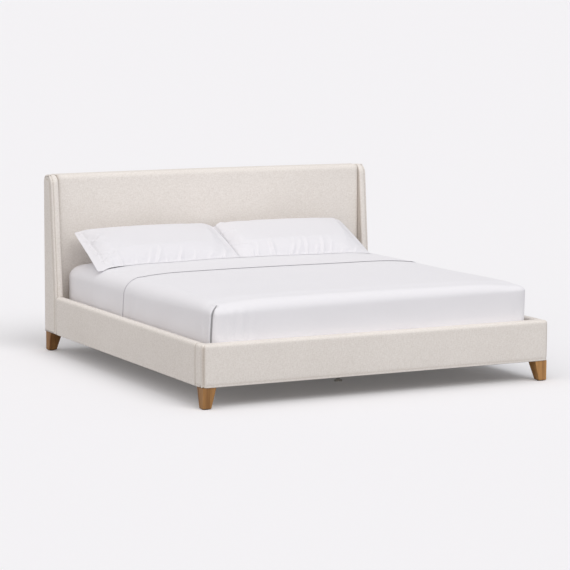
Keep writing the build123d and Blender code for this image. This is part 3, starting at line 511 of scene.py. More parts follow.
turned = add_node(stitch_tree, "FunctionNodeAlignRotationToVector", {"Vector": tangent.outputs[0]}, axis="Z")
placed = add_node(stitch_tree, "GeometryNodeInstanceOnPoints", {
    "Points": spaced.outputs[0], "Instance": stitch.outputs[0], "Rotation": turned.outputs[0]})
whole = add_node(stitch_tree, "GeometryNodeRealizeInstances", {"Geometry": placed.outputs[0]})
done = add_node(stitch_tree, "GeometryNodeSetMaterial", {
    "Geometry": whole.outputs[0], "Material": given.outputs["Thread"]})
add_node(stitch_tree, "NodeGroupOutput", {"Stitches": done.outputs[0]})


def surface_of(obj):
    """An object's faces, for finding places on them."""
    return BVHTree.FromPolygons([v.co for v in obj.data.vertices], [p.vertices for p in obj.data.polygons])


def baked(obj):
    """The mesh that an object's modifiers make."""
    return bpy.data.meshes.new_from_object(obj.evaluated_get(bpy.context.evaluated_depsgraph_get()))


def stitched(name, cover, path, material, body, pitch=0.010, length=0.008, thickness=0.0013):
    """Stitches at an even pitch along a path, laid on a cover's surface, as one plain mesh."""
    surface = surface_of(cover)
    laid = [spot + out * 0.0002 for spot, out in (surface.find_nearest(Vector(p))[:2] for p in path)]
    mesh = bpy.data.meshes.new(name)
    mesh.from_pydata(laid, [(k, k + 1) for k in range(len(laid) - 1)], [])
    obj = add_object(name, mesh)
    maker = obj.modifiers.new("stitches", "NODES")
    maker.node_group = stitch_tree
    chosen = {"Pitch": pitch, "Length": length, "Thickness": thickness, "Thread": material}
    for item in stitch_tree.interface.items_tree:
        if item.in_out == "INPUT" and item.name in chosen:
            maker[item.identifier] = chosen[item.name]
    made = baked(obj)
    obj.modifiers.remove(maker)
    obj.data = made
    obj.data.shade_smooth()
    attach(obj, body)


# The stitches run 25.5 mm behind the wing's front edge, just inside the strip's sewn line
sewn = front_run[np.argsort(np.arctan2(front_run[:, 1] - wing_foot, 1.09 - front_run[:, 0]))]
tangent = np.gradient(sewn, axis=0)
tangent /= np.linalg.norm(tangent, axis=1)[:, None] + 1e-12
sewn = (sewn + np.column_stack([tangent[:, 1], -tangent[:, 0]]) * 0.0255)[4:-4]
for side, hand in ((-1, "left"), (1, "right")):
    wing = slab(
        f"wing_upholstery_{hand}", rows, wing_stations, side, 0.0016, front_run, felled_strip, [chenille])
    paint_seam_shade(wing, wing_seam_shade)
    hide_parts(f"wing_cover_{hand}")
    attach(wing, "bed_frame")
    stitched(f"wing_stitches_{hand}", wing, [(side * 1.058, *p) for p in sewn], thread,
             "bed_frame")


# Side rails: a pine core in foam and chenille, stapled under the rail, its top edges softly rounded.
# The cover butts against the wing behind and the footboard's return in front.
rail_foot, rail_high, rail_thick, half_bed, rail_swell, end_round = 0.114, 0.225, 0.048, 1.059, 0.0014, 0.007
core_near, core_far, core_top = 0.012, 0.042, 0.213
fold_near, fold_far, fold_up, hair = 0.021, 0.033, 0.002, 0.0001
c_section = rounded_path(
    [(fold_near, 0), (0, 0), (0, rail_high), (rail_thick, rail_high), (rail_thick, 0), (fold_far, 0),
     (fold_far, fold_up), (core_far, fold_up), (core_far, core_top), (core_near, core_top),
     (core_near, fold_up), (fold_near, fold_up)],
    [0, 0.004, 0.017, 0.012, 0.003, 0, 0, 0, 0, 0, 0, 0], 0.009)
skin = ((c_section[:, 0] < core_near - hair) | (c_section[:, 0] > core_far + hair)
        | (c_section[:, 1] > core_top + hair))
skin_out = np.roll(c_section, -1, 0) - np.roll(c_section, 1, 0)
skin_out = np.column_stack([skin_out[:, 1], -skin_out[:, 0]])
skin_out /= np.linalg.norm(skin_out, axis=1)[:, None] + 1e-12
if (skin_out[skin] * (c_section[skin] - c_section[skin].mean(0))).sum() < 0:
    skin_out = -skin_out
bulge = rail_swell * np.sin(held(c_section[:, 1] / rail_high) * math.pi)
rail_from, rail_to = -1.018, 0.925
for side, hand in ((-1, "left"), (1, "right")):
    rings = []
    for y in rounded_run(rail_from, rail_to, end_round, 0.02, 6, 70):
        drawn = rolled_in(min(y - rail_from, rail_to - y), end_round)
        flat = c_section + skin_out * ((bulge - drawn) * skin)[:, None]
        ring = np.column_stack([side * (half_bed - flat[:, 0]), np.full(len(flat), y), rail_foot + flat[:, 1]])
        ring[:, 0] += skin * soft_waves(ring, 0.3, 0.0004, 11)
        rings.append(ring)
    rail = loft(f"side_rail_upholstery_{hand}", rings, [chenille])
    # Painted shade at the joints with the wing behind and the footboard's return in front
    paint_seam_shade(rail, lambda place: 0.7 * bell(place[:, 1] - rail_from, 0.0055)
              + 0.8 * bell(rail_to - place[:, 1], 0.004))
    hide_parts(f"side_rail_cover_{hand}")
    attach(rail, "bed_frame")


# Footboard: one cover wraps its front and both corners and ends 92 mm along each side, where it is
# sewn to a facing. A line of stitches holds the hem, which ends 12 mm above the lower edge.
bed_foot, foot_round, core_back, half_core, hem_up, stitch_up = -1.110, 0.018, -1.042, 1.011, 0.012, 0.015
corner_x, corner_y = half_bed - foot_round, bed_foot + foot_round
# The plan pairs each place on the outer face with the one behind it on the inner face
plan = [((-half_bed, rail_from + (corner_y - rail_from) * t),
         (-half_core, rail_from + (core_back - rail_from) * t))
        for t in np.concatenate([[0, 0.01, 0.025, 0.045, 0.07, 0.095], np.linspace(0.14, 1, 9)])]
plan += [((-corner_x - foot_round * math.cos(a), corner_y - foot_round * math.sin(a)), (-half_core, core_back))
         for a in np.linspace(0, math.pi / 2, 13)[1:-1]]
mirrored = [((-outer[0], outer[1]), (-inner[0], inner[1])) for outer, inner in plan[::-1]]
plan += [((corner_x * t, bed_foot), (half_core * t, core_back)) for t in 2 * np.concatenate([
    np.linspace(0, 0.02, 9), np.linspace(0.025, 0.975, 84), np.linspace(0.98, 1, 9)]) - 1] + mirrored
hem_line = bell(c_section[:, 1] - hem_up, 0.0022) * (c_section[:, 0] < 0.001)
corner_seam = held((rail_thick / 2 - c_section[:, 0]) / 0.01)
rings = []
for outer, inner in plan:
    outer, inner = np.array(outer), np.array(inner)
    way = (inner - outer) / np.linalg.norm(inner - outer)
    wide, drawn = abs(outer[0]), 0.0
    if wide > half_bed - 0.0005:
        drawn, from_seam = rolled_in(rail_from - outer[1], end_round), outer[1] - corner_y - 0.014
    elif wide > corner_x:
        turned = math.atan2(corner_y - outer[1], wide - corner_x)
        from_seam = foot_round * (turned - math.pi / 4)
    else:
        from_seam = 0.014 + corner_x - wide
    valley = 0.0060 * math.exp(-(from_seam / 0.0050) ** 2) + 0.0022 * math.exp(-abs(from_seam) / 0.02)
    off = bulge - drawn - 0.0016 * hem_line - valley * corner_seam
    flat = c_section + skin_out * (off * skin)[:, None]
    by_outer = (flat[:, 0] < rail_thick / 2)[:, None]
    spot = np.where(by_outer, outer + way * flat[:, :1], inner - way * (rail_thick - flat[:, :1]))
    rings.append(np.column_stack([spot, rail_foot + flat[:, 1]]))
foot_cover = loft("foot_rail_upholstery", rings, [chenille])


def foot_seam_shade(place):
    """Painted shade at the joint with each rail cover, in the upright seam on each corner and along the stitched
    hem.
    """
    wide, mitre = np.abs(place[:, 0]), foot_round * math.sqrt(0.5)
    corner = bell(np.hypot(wide - corner_x - mitre, place[:, 1] - corner_y + mitre), 0.010)
    # The right corner's painted shade is weaker, as that corner is seen at a grazing angle
    corner *= np.where(place[:, 0] < 0, 1.0, 0.45)
    joint = 0.7 * bell(place[:, 1] - rail_from, 0.0055)
    outside = (wide > 1.05) | (place[:, 1] < -1.10)
    hem_row = 0.3 * bell(place[:, 2] - rail_foot - hem_up, 0.0035) * outside
    return np.maximum.reduce([corner, joint, hem_row])


paint_seam_shade(foot_cover, foot_seam_shade)
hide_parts("foot_rail_cover")
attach(foot_cover, "bed_frame")
stitch_z = rail_foot + stitch_up
hem_run = [(-half_bed, y, stitch_z) for y in np.linspace(-1.03, -1.088, 8)]
hem_run += [(x, bed_foot, stitch_z) for x in np.linspace(-1.036, 1.036, 150)]
hem_run += [(half_bed, y, stitch_z) for y in np.linspace(-1.088, -1.03, 8)]
stitched("foot_hem_stitches", foot_cover, hem_run, thread, "bed_frame")


# Steel fittings: pressed angles and plates in black powder coat, zinc-plated bolts and hanger bolts,
# and yellow-passivated wood screws.
def metal(name, colour, metallic, roughness, grain_mm, bump_mm):
    """Plated or coated steel, with the fine unevenness of its finish."""
    material, tree, place = new_material(name)
    grain = noise(tree, place, 1000 / grain_mm, 3.0).outputs[0]
    rough = ranged(tree, grain, 0.0, 1.0, roughness - 0.08, roughness + 0.08)
    surfaced(tree, linear(colour), rough, (grain, 0.3, bump_mm / 1000), {"Metallic": metallic})
    return material


dress(metal("black_powder_coat", "2b2b2d", 0.0, 0.55, 1.5, 0.2),
      "beam_bracket_foot", "beam_bracket_head", "corner_brackets", "joining_plates")
dress(metal("bright_zinc_plate", "c3c6c9", 1.0, 0.35, 4, 0.05), "frame_bolts", "wing_bolts", "leg_bolts")
dress(metal("yellow_zinc_plate", "d8bd7a", 1.0, 0.38, 4, 0.05), "wood_screws")
# Galvanised staples hold the lining to the headboard's frame, one every 45 mm
staple_wire = metal("galvanised_staple_wire", "b7babd", 1.0, 0.4, 2, 0.03)
staple_inset, staple_up = [0.985, 0.966], 0.0196
staple_line = [(x, wing_back, z) for x, z in back_outline * staple_inset + [0, staple_up]]
stitched("back_lining_staples", back_panel, staple_line + staple_line[:1], staple_wire, "bed_frame",
         pitch=0.045, length=0.012, thickness=0.0016)


# Legs: solid oak, tapered on the two inner faces and finished in clear satin lacquer.
# Each stands on a dark moulded glide nailed into its foot.
oak = wood("lacquered_oak", "ae7f49", "84592c", 6, "Z", 0.42, coat=0.15)
# The far foot leg gets a paler copy of the oak: painted light, for the brighter light that falls on it
lit_oak_copy = wood("lacquered_oak_painted_lighter", "c8965c", "9d6d3c", 6, "Z", 0.42, coat=0.15)
dress(oak, "leg_foot_left", "leg_head_left", "leg_head_right")
dress(lit_oak_copy, "leg_foot_right")


def moulded(name, colour, roughness):
    """Injection-moulded plastic with a fine spark-eroded texture."""
    material, tree, place = new_material(name)
    grit = noise(tree, place, 900.0, 2.0).outputs[0]
    surfaced(tree, linear(colour), roughness, (grit, 0.25, 0.0002))
    return material


dress(moulded("dark_glide_nylon", "1d1b1a", 0.5), "leg_glides")
# The centre legs' feet are natural nylon, pale enough not to show in the shade under the bed
dress(moulded("natural_foot_nylon", "ebe9e4", 0.6), "levelling_foot_1", "levelling_foot_2", "levelling_foot_3")

# Slats: planed pine boards, screwed to the cleats at both ends. Two flat webbing tapes are stapled
# under them so that they can't drift.
planed = wood("planed_pine", "e3ca9e", "c9a470", 11, "X", 0.6)
dress(planed, *[f"slat_{n:02d}" for n in range(1, 13)])
webbing = woven("black_webbing", "34343a", "26262b", 2.0, 5, 0.3, sheen=0.05)
dress(webbing, "slat_tapes")


# Mattress: pocket springs and foam in a knitted ticking, its top and bottom panels quilted and its
# edges taped. The sheets cover all of it but the middle of its underside.
half_wide, half_long, bed_middle = 0.965, 1.015, -0.0225
under_z, shoulder_z, corner_r, low_r = 0.2703, 0.5453, 0.102, 0.024
edge_in, edge_down = 0.100, 0.094
crown_across, crown_along, flat_wide, flat_long, soft_side, soft_end = 0.007, 0.005, 0.60, 0.82, 0.012, 0.007
core_w, core_l = half_wide - corner_r, half_long - corner_r
core_foot, core_head = bed_middle - core_l, bed_middle + core_l
bend_from, round_edge = 0.40, 0.12


def clamped(value):
    """The value, held between 0 and 1."""
    return max(0.0, min(1.0, value))


def eased(value):
    """The value, held between 0 and 1, with an even start and stop."""
    value = clamped(value)
    return value * value * (3 - 2 * value)


def crown(x, y):
    """How far the mattress's top rises over its edge."""
    over_side = clamped((abs(x) - flat_wide) / (core_w - flat_wide))
    over_end = clamped((abs(y - bed_middle) - flat_long) / (core_l - flat_long))
    return (crown_across * (1 - (x / half_wide) ** 2) + crown_along * (1 - ((y - bed_middle) / half_long) ** 2)
            - soft_side * over_side ** 2.5 - soft_end * over_end ** 2)


drop = [(edge_in * (1 - math.cos(a)), edge_down * (1 - math.sin(a)),
         math.atan2(math.sin(a) * edge_in, math.cos(a) * edge_down)) for a in np.linspace(math.pi / 2, 0, 15)]
side_rows = [(0.0, edge_down + (shoulder_z - edge_down - under_z - low_r) * t, 0.0)
             for t in np.linspace(0, 1, 19)[1:]]
foot_turn = [(low_r * (1 - math.cos(a)), shoulder_z - under_z - low_r + low_r * math.sin(a), -a)
             for a in np.linspace(0, math.pi / 2, 6)[1:]]
tuck = [(d, shoulder_z - under_z, -math.pi / 2) for d in (0.036, 0.048, 0.060)]
skirt = drop + side_rows + foot_turn + tuck
side_last = len(drop) + len(side_rows) - 1


def edge_of(r, x, y):
    """One row of the edge's profile at a place: inset, fall and lean. The edge is rounder at the head, where
    sitting has softened it, than at the foot and its right corner."""
    inset, fall, lean = skirt[r]
    tight = 1 - (0.26 + 0.13 * (1 + x / half_wide)) * (1 - eased((y - bed_middle + half_long) / 0.9))
    if r < len(drop):
        return inset * tight, fall * tight, lean
    if r <= side_last:
        straight = shoulder_z - under_z - low_r
        longer = (straight - edge_down * tight) / (straight - edge_down)
        return inset, straight - (straight - fall) * longer, lean
    return inset, fall, lean


def squarer(turn):
    """The way out at an upright corner: a rounded corner, a little squarer than a quarter circle."""
    c, s = math.cos(turn), math.sin(turn)
    far = (abs(c) ** 4.2 + abs(s) ** 4.2) ** (1 / 4.2)
    return c / far, s / far


def bed_skin(name, columns, rows, head, lift, materials, band_from=None):
    """Cloth fitted over the mattress. columns are places across, rows are (y in the middle, y at the edge,
    y at the underside, layer lift); lift(point, row lift, part) is each point's distance off the mattress.
    head says whether it also goes down at the head; rows from band_from on aren't tucked under."""
    points, number = [], {}
    last = len(rows) - 1

    def put(key, base, out, inset, fall, lean, row_lift):
        """Adds one point: out is its plan direction from the core, lean its slope from level."""
        x, y = base[0] + out[0] * (corner_r - inset), base[1] + out[1] * (corner_r - inset)
        z = shoulder_z - fall + crown(x, y) * max(0.0, math.sin(lean))
        off = lift(np.array([x, y, z]), row_lift, key)
        if lean < -0.8:
            off = min(off, 0.0016)
        number[key] = len(points)
        points.append((x + out[0] * off * math.cos(lean), y + out[1] * off * math.cos(lean),
                       z + off * math.sin(lean)))

    def row_y(row, x, fall, inset=corner_r):
        """Where a row crosses at x: it bends to its edge place from bend_from out, round_edge past the core."""
        over = abs(x) + min(round_edge, math.hypot(max(0.0, edge_in - inset), fall)) - bend_from
        bent = eased(over / (core_w + round_edge - bend_from))
        down = min(1.0, fall / (shoulder_z - under_z))
        return row[0] + (row[1] - row[0]) * bent + (row[2] - row[1]) * down

    for j, row in enumerate(rows):
        for i, x in enumerate(columns):
            put(("c", i, j), (x, row_y(row, x, 0.0)), (0, 0), corner_r, 0.0, math.pi / 2, row[3])
        for r in range(len(skirt)):
            if band_from is not None and j >= band_from and r > side_last:
                break
            for key, way in (("L", -1), ("R", 1)):
                inset, fall, lean = edge_of(r, way * half_wide, row[1])
                put((key, j, r), (way * core_w, row_y(row, core_w, fall, inset)), (way, 0), inset, fall, lean,
                    row[3])
    for r in range(len(skirt)):
        for i, x in enumerate(columns):
            put(("F", i, r), (x, rows[0][0]), (0, -1), *edge_of(r, x, core_foot), rows[0][3])
            if head:
                put(("H", i, r), (x, rows[-1][0]), (0, 1), *edge_of(r, x, core_head), rows[-1][3])
        for a, turn in enumerate(corner_turns[1:-1], start=1):
            c, s = squarer(turn)
            for key, side in (("L", -1), ("R", 1)):
                put(("F" + key, a, r), (side * core_w, rows[0][0]), (side * c, -s),
                    *edge_of(r, side * half_wide, core_foot), rows[0][3])
                if head:
                    put(("H" + key, a, r), (side * core_w, rows[-1][0]), (side * c, s),
                        *edge_of(r, side * half_wide, core_head), rows[-1][3])
    wide, turns = len(columns) - 1, len(corner_turns) - 1
    faces = [(("c", i, j), ("c", i + 1, j), ("c", i + 1, j + 1), ("c", i, j + 1))
             for i in range(wide) for j in range(last)]

    def run_down(keys, core_keys):
        """Faces between neighbouring columns of the skirt, and to the top they hang from."""
        for (one, two), (top_one, top_two) in zip(zip(keys, keys[1:]), zip(core_keys, core_keys[1:])):
            top = [top_one, top_two] if top_one != top_two else [top_one]
            faces.append((*top, (*two, 0), (*one, 0)))
            for r in range(len(skirt) - 1):
                if (*one, r + 1) in number and (*two, r + 1) in number:
                    faces.append(((*one, r), (*two, r), (*two, r + 1), (*one, r + 1)))

    def corner(name, side_key, end_key, core_key):
        """Faces round one upright corner."""
        keys = [side_key] + [(name, a) for a in range(1, turns)] + [end_key]
        run_down(keys, [core_key] * len(keys))

    for key, i in (("L", 0), ("R", wide)):
        run_down([(key, j) for j in range(last + 1)], [("c", i, j) for j in range(last + 1)])
    for key, j in (("F", 0), ("H", last))[:2 if head else 1]:
        run_down([(key, i) for i in range(wide + 1)], [("c", i, j) for i in range(wide + 1)])
        for side, i in (("L", 0), ("R", wide)):
            corner(key + side, (side, j), (key, i), ("c", i, j))
    return mesh_object(name, points, [[number[k] for k in face] for face in faces], materials)


corner_turns = np.radians([0, 7, 14, 21, 28, 34, 38, 39.5, 42, 47, 54, 62, 71, 80, 90])
core_columns = np.linspace(-core_w, core_w, 96)


def ticking(name):
    """Knitted polyester ticking: off-white, with a fine quilted diamond that the stitching draws in."""
    material, tree, place = new_material(name)
    turned = add_node(tree, "ShaderNodeMapping", {"Vector": place, "Rotation": (0, 0, math.pi / 4)})
    quilt = maths(tree, "MULTIPLY", *[add_node(tree, "ShaderNodeTexWave", {
        "Vector": turned.outputs[0], "Scale": 2.6}, bands_direction=axis).outputs[1] for axis in "XY"])
    knit = noise(tree, place, 500.0, 3.0).outputs[0]
    height = maths(tree, "MULTIPLY_ADD", quilt, 8.0, knit)
    surfaced(tree, linear("e9e8e6"), 0.85, (height, 0.5, 0.0008))
    return material


mattress = bed_skin("spring_mattress", core_columns[::3],
                    [(y, y, y, 0.0) for y in np.linspace(core_foot, core_head, 36)], True,
                    lambda point, row_lift, key: 0.0, [ticking("knitted_ticking")])
# Its underside closes it
work = bmesh.new()
work.from_mesh(mattress.data)
bmesh.ops.holes_fill(work, edges=[edge for edge in work.edges if edge.is_boundary])
work.to_mesh(mattress.data)
work.free()
face_out(mattress)
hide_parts("mattress")
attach(mattress, "mattress_and_sheets")


# Fitted sheet: white cotton percale, cut to the mattress, its elastic hem gathered underneath.
# It shows only at the head, where the flat sheet is turned back.
def cotton(name, colour, thread_mm, bump_mm):
    """Cotton percale: a close plain weave. Its threads are a quarter of a millimetre, too fine to show,
    so the weave is drawn at thread_mm, under the faint creases of a laundered sheet."""
    material, tree, place = new_material(name)
    weave = noise(tree, place, 1000 / thread_mm, 2.0).outputs[0]
    crease = noise(tree, place, 9.0, 3.0, Roughness=0.45, Distortion=0.4).outputs[0]
    height = maths(tree, "MULTIPLY_ADD", crease, 6.0, weave)
    # The opening of a fold and the underside of a hem are in their own shade
    painted_seam_shade = add_node(tree, "ShaderNodeAttribute", attribute_name="seam").outputs["Fac"]
    shade = ranged(tree, painted_seam_shade, 0.0, 1.0, 1.0, 0.4)
    cloth = mixed_colour(tree, 1.0, linear(colour), shade, blend_type="MULTIPLY")
    surfaced(tree, cloth, 0.8, (height, 0.35, bump_mm / 1000),
             {"Sheen Weight": 0.1, "Sheen Roughness": 0.4, "Specular IOR Level": 0.3})
    return material


percale = cotton("cotton_percale", "eeedf1", 1.6, 0.9)


def thicken(obj, thickness):
    """Gives a sheet its cloth's thickness, outwards."""
    wall = obj.modifiers.new("cloth_thickness", "SOLIDIFY")
    wall.thickness = thickness
    wall.offset = 1.0
    bpy.context.view_layer.objects.active = obj
    with bpy.context.temp_override(object=obj, active_object=obj, selected_objects=[obj]):
        bpy.ops.object.modifier_apply(modifier=wall.name)


lies_off, gather_top, gather_deep = 0.0010, 0.36, 0.0008


def fitted_lift(point, row_lift, key):
    """Lies close all over; small gathers near the elastic under the mattress."""
    low = clamped((gather_top - point[2]) / 0.07)
    return lies_off + gather_deep * low * abs(math.sin(72 * (point[0] + point[1])))


fitted = bed_skin("fitted_sheet_cloth", core_columns, [
    (y, y, y, 0.0) for y in np.linspace(core_foot, core_head, 110)], True, fitted_lift, [percale])
face_out(fitted)
thicken(fitted, 0.0006)
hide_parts("fitted_sheet")
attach(fitted, "mattress_and_sheets")


# Flat sheet: the same percale, laid over the foot two thirds and tucked under on three sides. Its top is
# turned back as a wide band, and at the foot its corners are folded like an envelope.
fold, hem, layer = np.array([0.642, 0.560, 0.556]), np.array([0.092, 0.106, 0.134]), 0.0030
sheet_foot = np.array([core_foot] * 3)
sheet_rows = [(*(sheet_foot + (fold - sheet_foot) * t), 0.0) for t in np.linspace(0, 1, 84)]
for a in np.linspace(0.4, math.pi - 0.4, 5):
    sheet_rows.append((*(fold + 0.0022 * math.sin(a)), layer * (1 - math.cos(a)) / 2))
band_start = len(sheet_rows)
for t in np.concatenate([np.linspace(0, 0.94, 38), [0.952, 0.957, 0.965, 0.982, 0.994, 1.0]]):
    sheet_rows.append((*(fold + (hem - fold) * t), layer + (0.0012 if t > 0.955 else 0.0)))


def cloth_waves(point, size, height, seed):
    """One value of soft_waves, at one point."""
    return float(soft_waves(np.array([point]), size, height, seed, 7)[0])


def flat_lift(point, row_lift, key):
    """Soft drape over the top and down the sides; it is drawn tight under the folded corners."""
    x, y, z = point
    off = 0.0020 + row_lift
    side_share = clamped((0.52 - z) / 0.15)
    off += 0.0012 * max(0, 1 + cloth_waves(point, 0.45, 0.8, 3))
    if key[0] in ("L", "R"):
        off += side_share * 0.0022 * (1 + math.sin(y * 23 + 2.2 * math.sin(6 * y) + z * 8))
        off -= 0.0012 * side_share * max(0.0, 1 - abs(y - core_foot) / 0.12)
    if key[0] == "F":
        off += side_share * 0.0014 * (1 + math.sin(x * 11 + 1.3 * math.sin(3 * x) + z * 7))
        pulled = clamped((0.53 - z) / 0.04) * math.exp(-((x + 0.80) / 0.085) ** 2)
        off += 0.0030 * pulled * (1 + math.sin((x + 0.94) * 95 + (0.5 - z) * (x + 0.94) * 60))
    if key[0] in ("FL", "FR"):
        off -= 0.0014 * side_share
    return off


flat = bed_skin("flat_sheet_cloth", core_columns, sheet_rows, False, flat_lift, [percale], band_from=band_start)
points = [tuple(v.co) for v in flat.data.vertices]
faces = [tuple(p.vertices) for p in flat.data.polygons]
openings, close, proud, on_top = [], 0.0010, 0.0046, 0.0104
for way in (-1, 1):
    grid = []
    for r in range(5, side_last + 4):
        inset, fall, slope = edge_of(r, way * half_wide, core_foot)
        # The near corner's fold lies on the foot end, the far one's on the side
        low = clamped((fall - 0.02) / 0.17) ** 0.6
        reach = math.radians(38 - 8 * low if way < 0 else 12 - 7 * low)
        spots = [(y, (way, 0.0), lift) for y, lift in zip(
            np.linspace(core_foot + 0.10, core_foot, 7)[:-1], np.linspace(0.0008, proud, 7))]
        turns = [(reach * t, proud + (on_top - proud) * t ** 2) for t in np.linspace(0, 1, 14)]
        turns += [(reach + past, lift) for past, lift in (
            (0.02, 0.0108), (0.045, 0.0100), (0.05, 0.0070), (0.06, 0.0042), (0.12, 0.0040))]
        for turn, lift in turns:
            c, s = squarer(turn)
            spots.append((core_foot, (way * c, -s), lift))
        grid.append([])
        soft = min(1.0, 0.25 + fall / 0.06)
        for y, out, lift in spots:
            off = close + (lift - close) * soft
            x, y = way * core_w + out[0] * (corner_r - inset), y + out[1] * (corner_r - inset)
            grid[-1].append(len(points))
            points.append((x + out[0] * off * math.cos(slope), y + out[1] * off * math.cos(slope),
                           shoulder_z - fall + (crown(x, y) + off) * math.sin(slope)))
    faces += [(a[k], a[k + 1], b[k + 1], b[k]) for a, b in zip(grid, grid[1:]) for k in range(len(a) - 1)]
    openings += [points[k] for row in grid for k in row[-2:]]
bpy.data.meshes.remove(flat.data)
flat = mesh_object("flat_sheet_cloth", points, faces, [percale])
face_out(flat)
openings = np.array(openings)
# Painted shade in the openings of the folded corners
paint_seam_shade(flat, lambda place: np.array([
    0.0 if abs(abs(p[0]) - 0.94) > 0.04 or p[1] > -0.95 else
    bell(np.min(np.linalg.norm(openings - p, axis=1)), 0.0028) for p in place]))
thicken(flat, 0.0007)
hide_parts("flat_sheet")
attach(flat, "mattress_and_sheets")


# Pillows: long fibre-filled pillows in white percale cases. Each is a flat case blown up by its
# filling, so the seam draws it in and creases fan out from its corners.
# The cases get a greyer copy of the sheets' percale: painted shade that dims the pillows, which catch more light
# than the sheets
shaded_case_percale = cotton("cotton_percale_painted_greyer", "e6e5e9", 1.6, 0.9)


def filled_case(name, length, width, depth, seed):
    """A cloth bag cut flat and inflated until it is depth thick, lying in its own frame."""
    pitch = 0.010
    across, up = round(length / pitch), round(width / pitch)
    points, number = [], {}
    dice = random.Random(seed)
    for face in (1, -1):
        for i in range(across + 1):
            for j in range(up + 1):
                rim_point = i in (0, across) or j in (0, up)
                if face < 0 and rim_point:
                    number[face, i, j] = number[1, i, j]
                    continue
                u, v = i / across * 2 - 1, j / up * 2 - 1
                bow = (1 - u ** 8) * (1 - v ** 6)
                number[face, i, j] = len(points)
                points.append((u * length / 2, v * width / 2,
                               face * (0.012 * bow + (0 if rim_point else dice.uniform(0, 0.0012)))))
    faces = [[number[face, i + a, j + b] for a, b in ((0, 0), (1, 0), (1, 1), (0, 1))][::face]
             for face in (1, -1) for i in range(across) for j in range(up)]
    obj = mesh_object(name, points, faces, [shaded_case_percale])
    cloth = obj.modifiers.new("filling", "CLOTH")
    for key, value in dict(
            quality=8, mass=0.2, tension_stiffness=45, compression_stiffness=45, shear_stiffness=14,
            bending_stiffness=0.05, use_pressure=True, uniform_pressure_force=6).items():
        setattr(cloth.settings, key, value)
    cloth.settings.effector_weights.gravity = 0
    cloth.collision_settings.use_collision = False
    cloth.point_cache.frame_start, cloth.point_cache.frame_end = 1, 40
    scene = bpy.context.scene
    for step in range(1, 41):
        scene.frame_set(step)
        shape = obj.evaluated_get(bpy.context.evaluated_depsgraph_get()).to_mesh()
        reach = max(v.co.z for v in shape.vertices)
        if reach >= depth / 2:
            break
    done = baked(obj)
    obj.modifiers.remove(cloth)
    scene.frame_set(1)
    bags = []
    for shape, points in ((done, [v.co for v in done.vertices]), (done.copy(), points)):
        shape.vertices.foreach_set("co", np.array(points, np.float32).ravel())
        obj.data = shape
        finer = obj.modifiers.new("finer", "SUBSURF")
        finer.levels = finer.render_levels = 1
        bags.append(baked(obj))
        obj.modifiers.remove(finer)
    obj.data = bags[0]
    obj.data.shade_smooth()
    place, cut = (np.array([v.co for v in bag.vertices]) for bag in bags)
    place[:, 2] *= depth / 2 / max(1e-6, place[:, 2].max())
    return obj, place, cut


lean, rest_y, rest_z, depth = math.radians(23), 0.751, 0.631, 0.150
cut_length, cut_width, length, width, end_meet, tilt_meet = 0.91, 0.475, 0.895, 0.458, 0.014, 0.016
bedding, pad_face = [surface_of(sheet) for sheet in (fitted, flat)], 0.9962
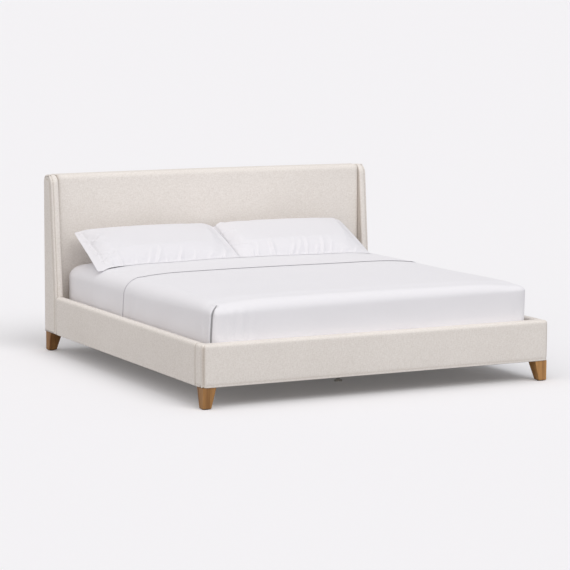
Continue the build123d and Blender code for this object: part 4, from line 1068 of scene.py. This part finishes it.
# inward points to the other pillow; longer is what the outer lower corner gains, dip the gap beside it
for hand, inward, middle_x, turn, longer, dip, seed in (
        ("left", 1, -0.486, 2, 0.032, 0.005, 21), ("right", -1, 0.392, -2, 0.020, 0.0, 22)):
    case, place, cut = filled_case(f"pillowcase_cloth_{hand}", cut_length, cut_width, depth, seed)
    x, y, z = place.T
    x *= length / np.ptp(x)
    y *= width / np.ptp(y)
    # The ends are straight, a little full where the two pillows meet. The filling thins out towards both
    # ends and towards the lower edge, where the case lies nearly flat
    u, v = (np.clip(side / side.max(), -1, 1) for side in cut.T[:2])
    meets, outer = u * inward > 0, -u * inward
    x += (u * (length / 2 + end_meet * meets * (1 - v ** 2)) - x) * np.abs(u) ** 6
    y += (v * width / 2 - y) * held(-v) ** 6
    z *= np.clip((1 - np.abs(u)) / (0.24 - 0.10 * v), 0.02, 1) ** 0.45
    z *= np.clip((1 + v) / 0.62, 0.02, 1) ** 0.45
    z *= depth / np.ptp(z)
    # The upper corners are rounded, the outer lower one is drawn out
    rounded = np.abs(u) ** 10 * held(v) ** 6 * (0.4 + 0.6 * meets)
    y -= 0.026 * rounded
    x += np.sign(u) * (longer * held(outer) ** 3 * (1 - v) / 2 - 0.012 * rounded)
    droop = held((-x * inward - length / 2 + 0.26) / 0.26) ** 2 * held((0.05 - y) / 0.26) ** 1.5
    # Folds that the cloth keeps: they fan up from the lower edge and in from both ends. Each has its
    # start, its way in degrees, its reach and its height
    dice = random.Random(seed)
    folds = [(-0.36 + 0.74 * (k + dice.uniform(-0.35, 0.35)) / 12, -width / 2 - 0.01,
              99 - 4 * k + dice.uniform(-24, 24), dice.uniform(0.08, 0.18), dice.uniform(0.005, 0.010))
             for k in range(13)]
    folds += [(-length / 2 + 0.01, -0.16 + 0.34 * k / 4, dice.uniform(-55, 35), dice.uniform(0.10, 0.2),
               dice.uniform(0.006, 0.010)) for k in range(5)]
    folds += [(length / 2 - 0.01, -0.12 + 0.26 * k / 2, 180 + dice.uniform(-40, 30), dice.uniform(0.06, 0.12),
               dice.uniform(0.002, 0.004)) for k in range(3)]
    from_rim = np.minimum((1 - np.abs(u)) * length / 2, (1 - np.abs(v)) * width / 2)
    front = held(from_rim / 0.012) * (cut[:, 2] > 0)
    for start_x, start_y, way, reach, height in folds:
        c, s = math.cos(math.radians(way)), math.sin(math.radians(way))
        along = (x - start_x) * c + (y - start_y) * s
        across = -(x - start_x) * s + (y - start_y) * c + 0.02 * np.sin(along * 14)
        fade = held(along / 0.03) * held((reach - along) / (reach * 0.7))
        thick = 0.0055 + 0.055 * held(along)
        crest = bell(across, thick) - 0.55 * bell(across - 1.7 * thick, thick)
        z += front * height * fade * crest
    # The open end's hem, 30 mm wide, is stitched down and stays flatter than the filled part
    z *= 1 - 0.35 * bell(x + length / 2 - 0.030, 0.004) * held(np.abs(z) / 0.01)
    # Where the two pillows meet, the left one's end lies over the right one's
    z += tilt_meet * inward * held((x * inward - length / 2 + 0.13) / 0.13) ** 2
    turned = Euler((0, 0, math.radians(turn))).to_matrix() @ Euler((lean, 0, 0)).to_matrix()
    place = place @ np.array(turned).T + np.array([middle_x, rest_y, rest_z])
    place[:, 2] -= 0.010 * droop
    # The pillow rests on the sheets. Its lower edge bridges a little dip beside its outer corner
    bridge = dip * bell(outer - 0.80, 0.13) * held(-v) ** 8
    for point, gap in zip(place, bridge):
        under = [tree.ray_cast(Vector((point[0], point[1], 1.0)), Vector((0, 0, -1)))[0] for tree in bedding]
        rest = max(spot.z for spot in under if spot) + 0.0004
        if point[2] < rest + 0.002:
            point[2] = rest + 0.002 * math.exp((point[2] - rest - 0.002) / 0.030)
        point[2] += gap
        point[1] = min(point[1], pad_face)
    move_points(case, place)
    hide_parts(f"pillowcase_{hand}", f"pillow_{hand}")
    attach(case, f"pillow_unit_{hand}")
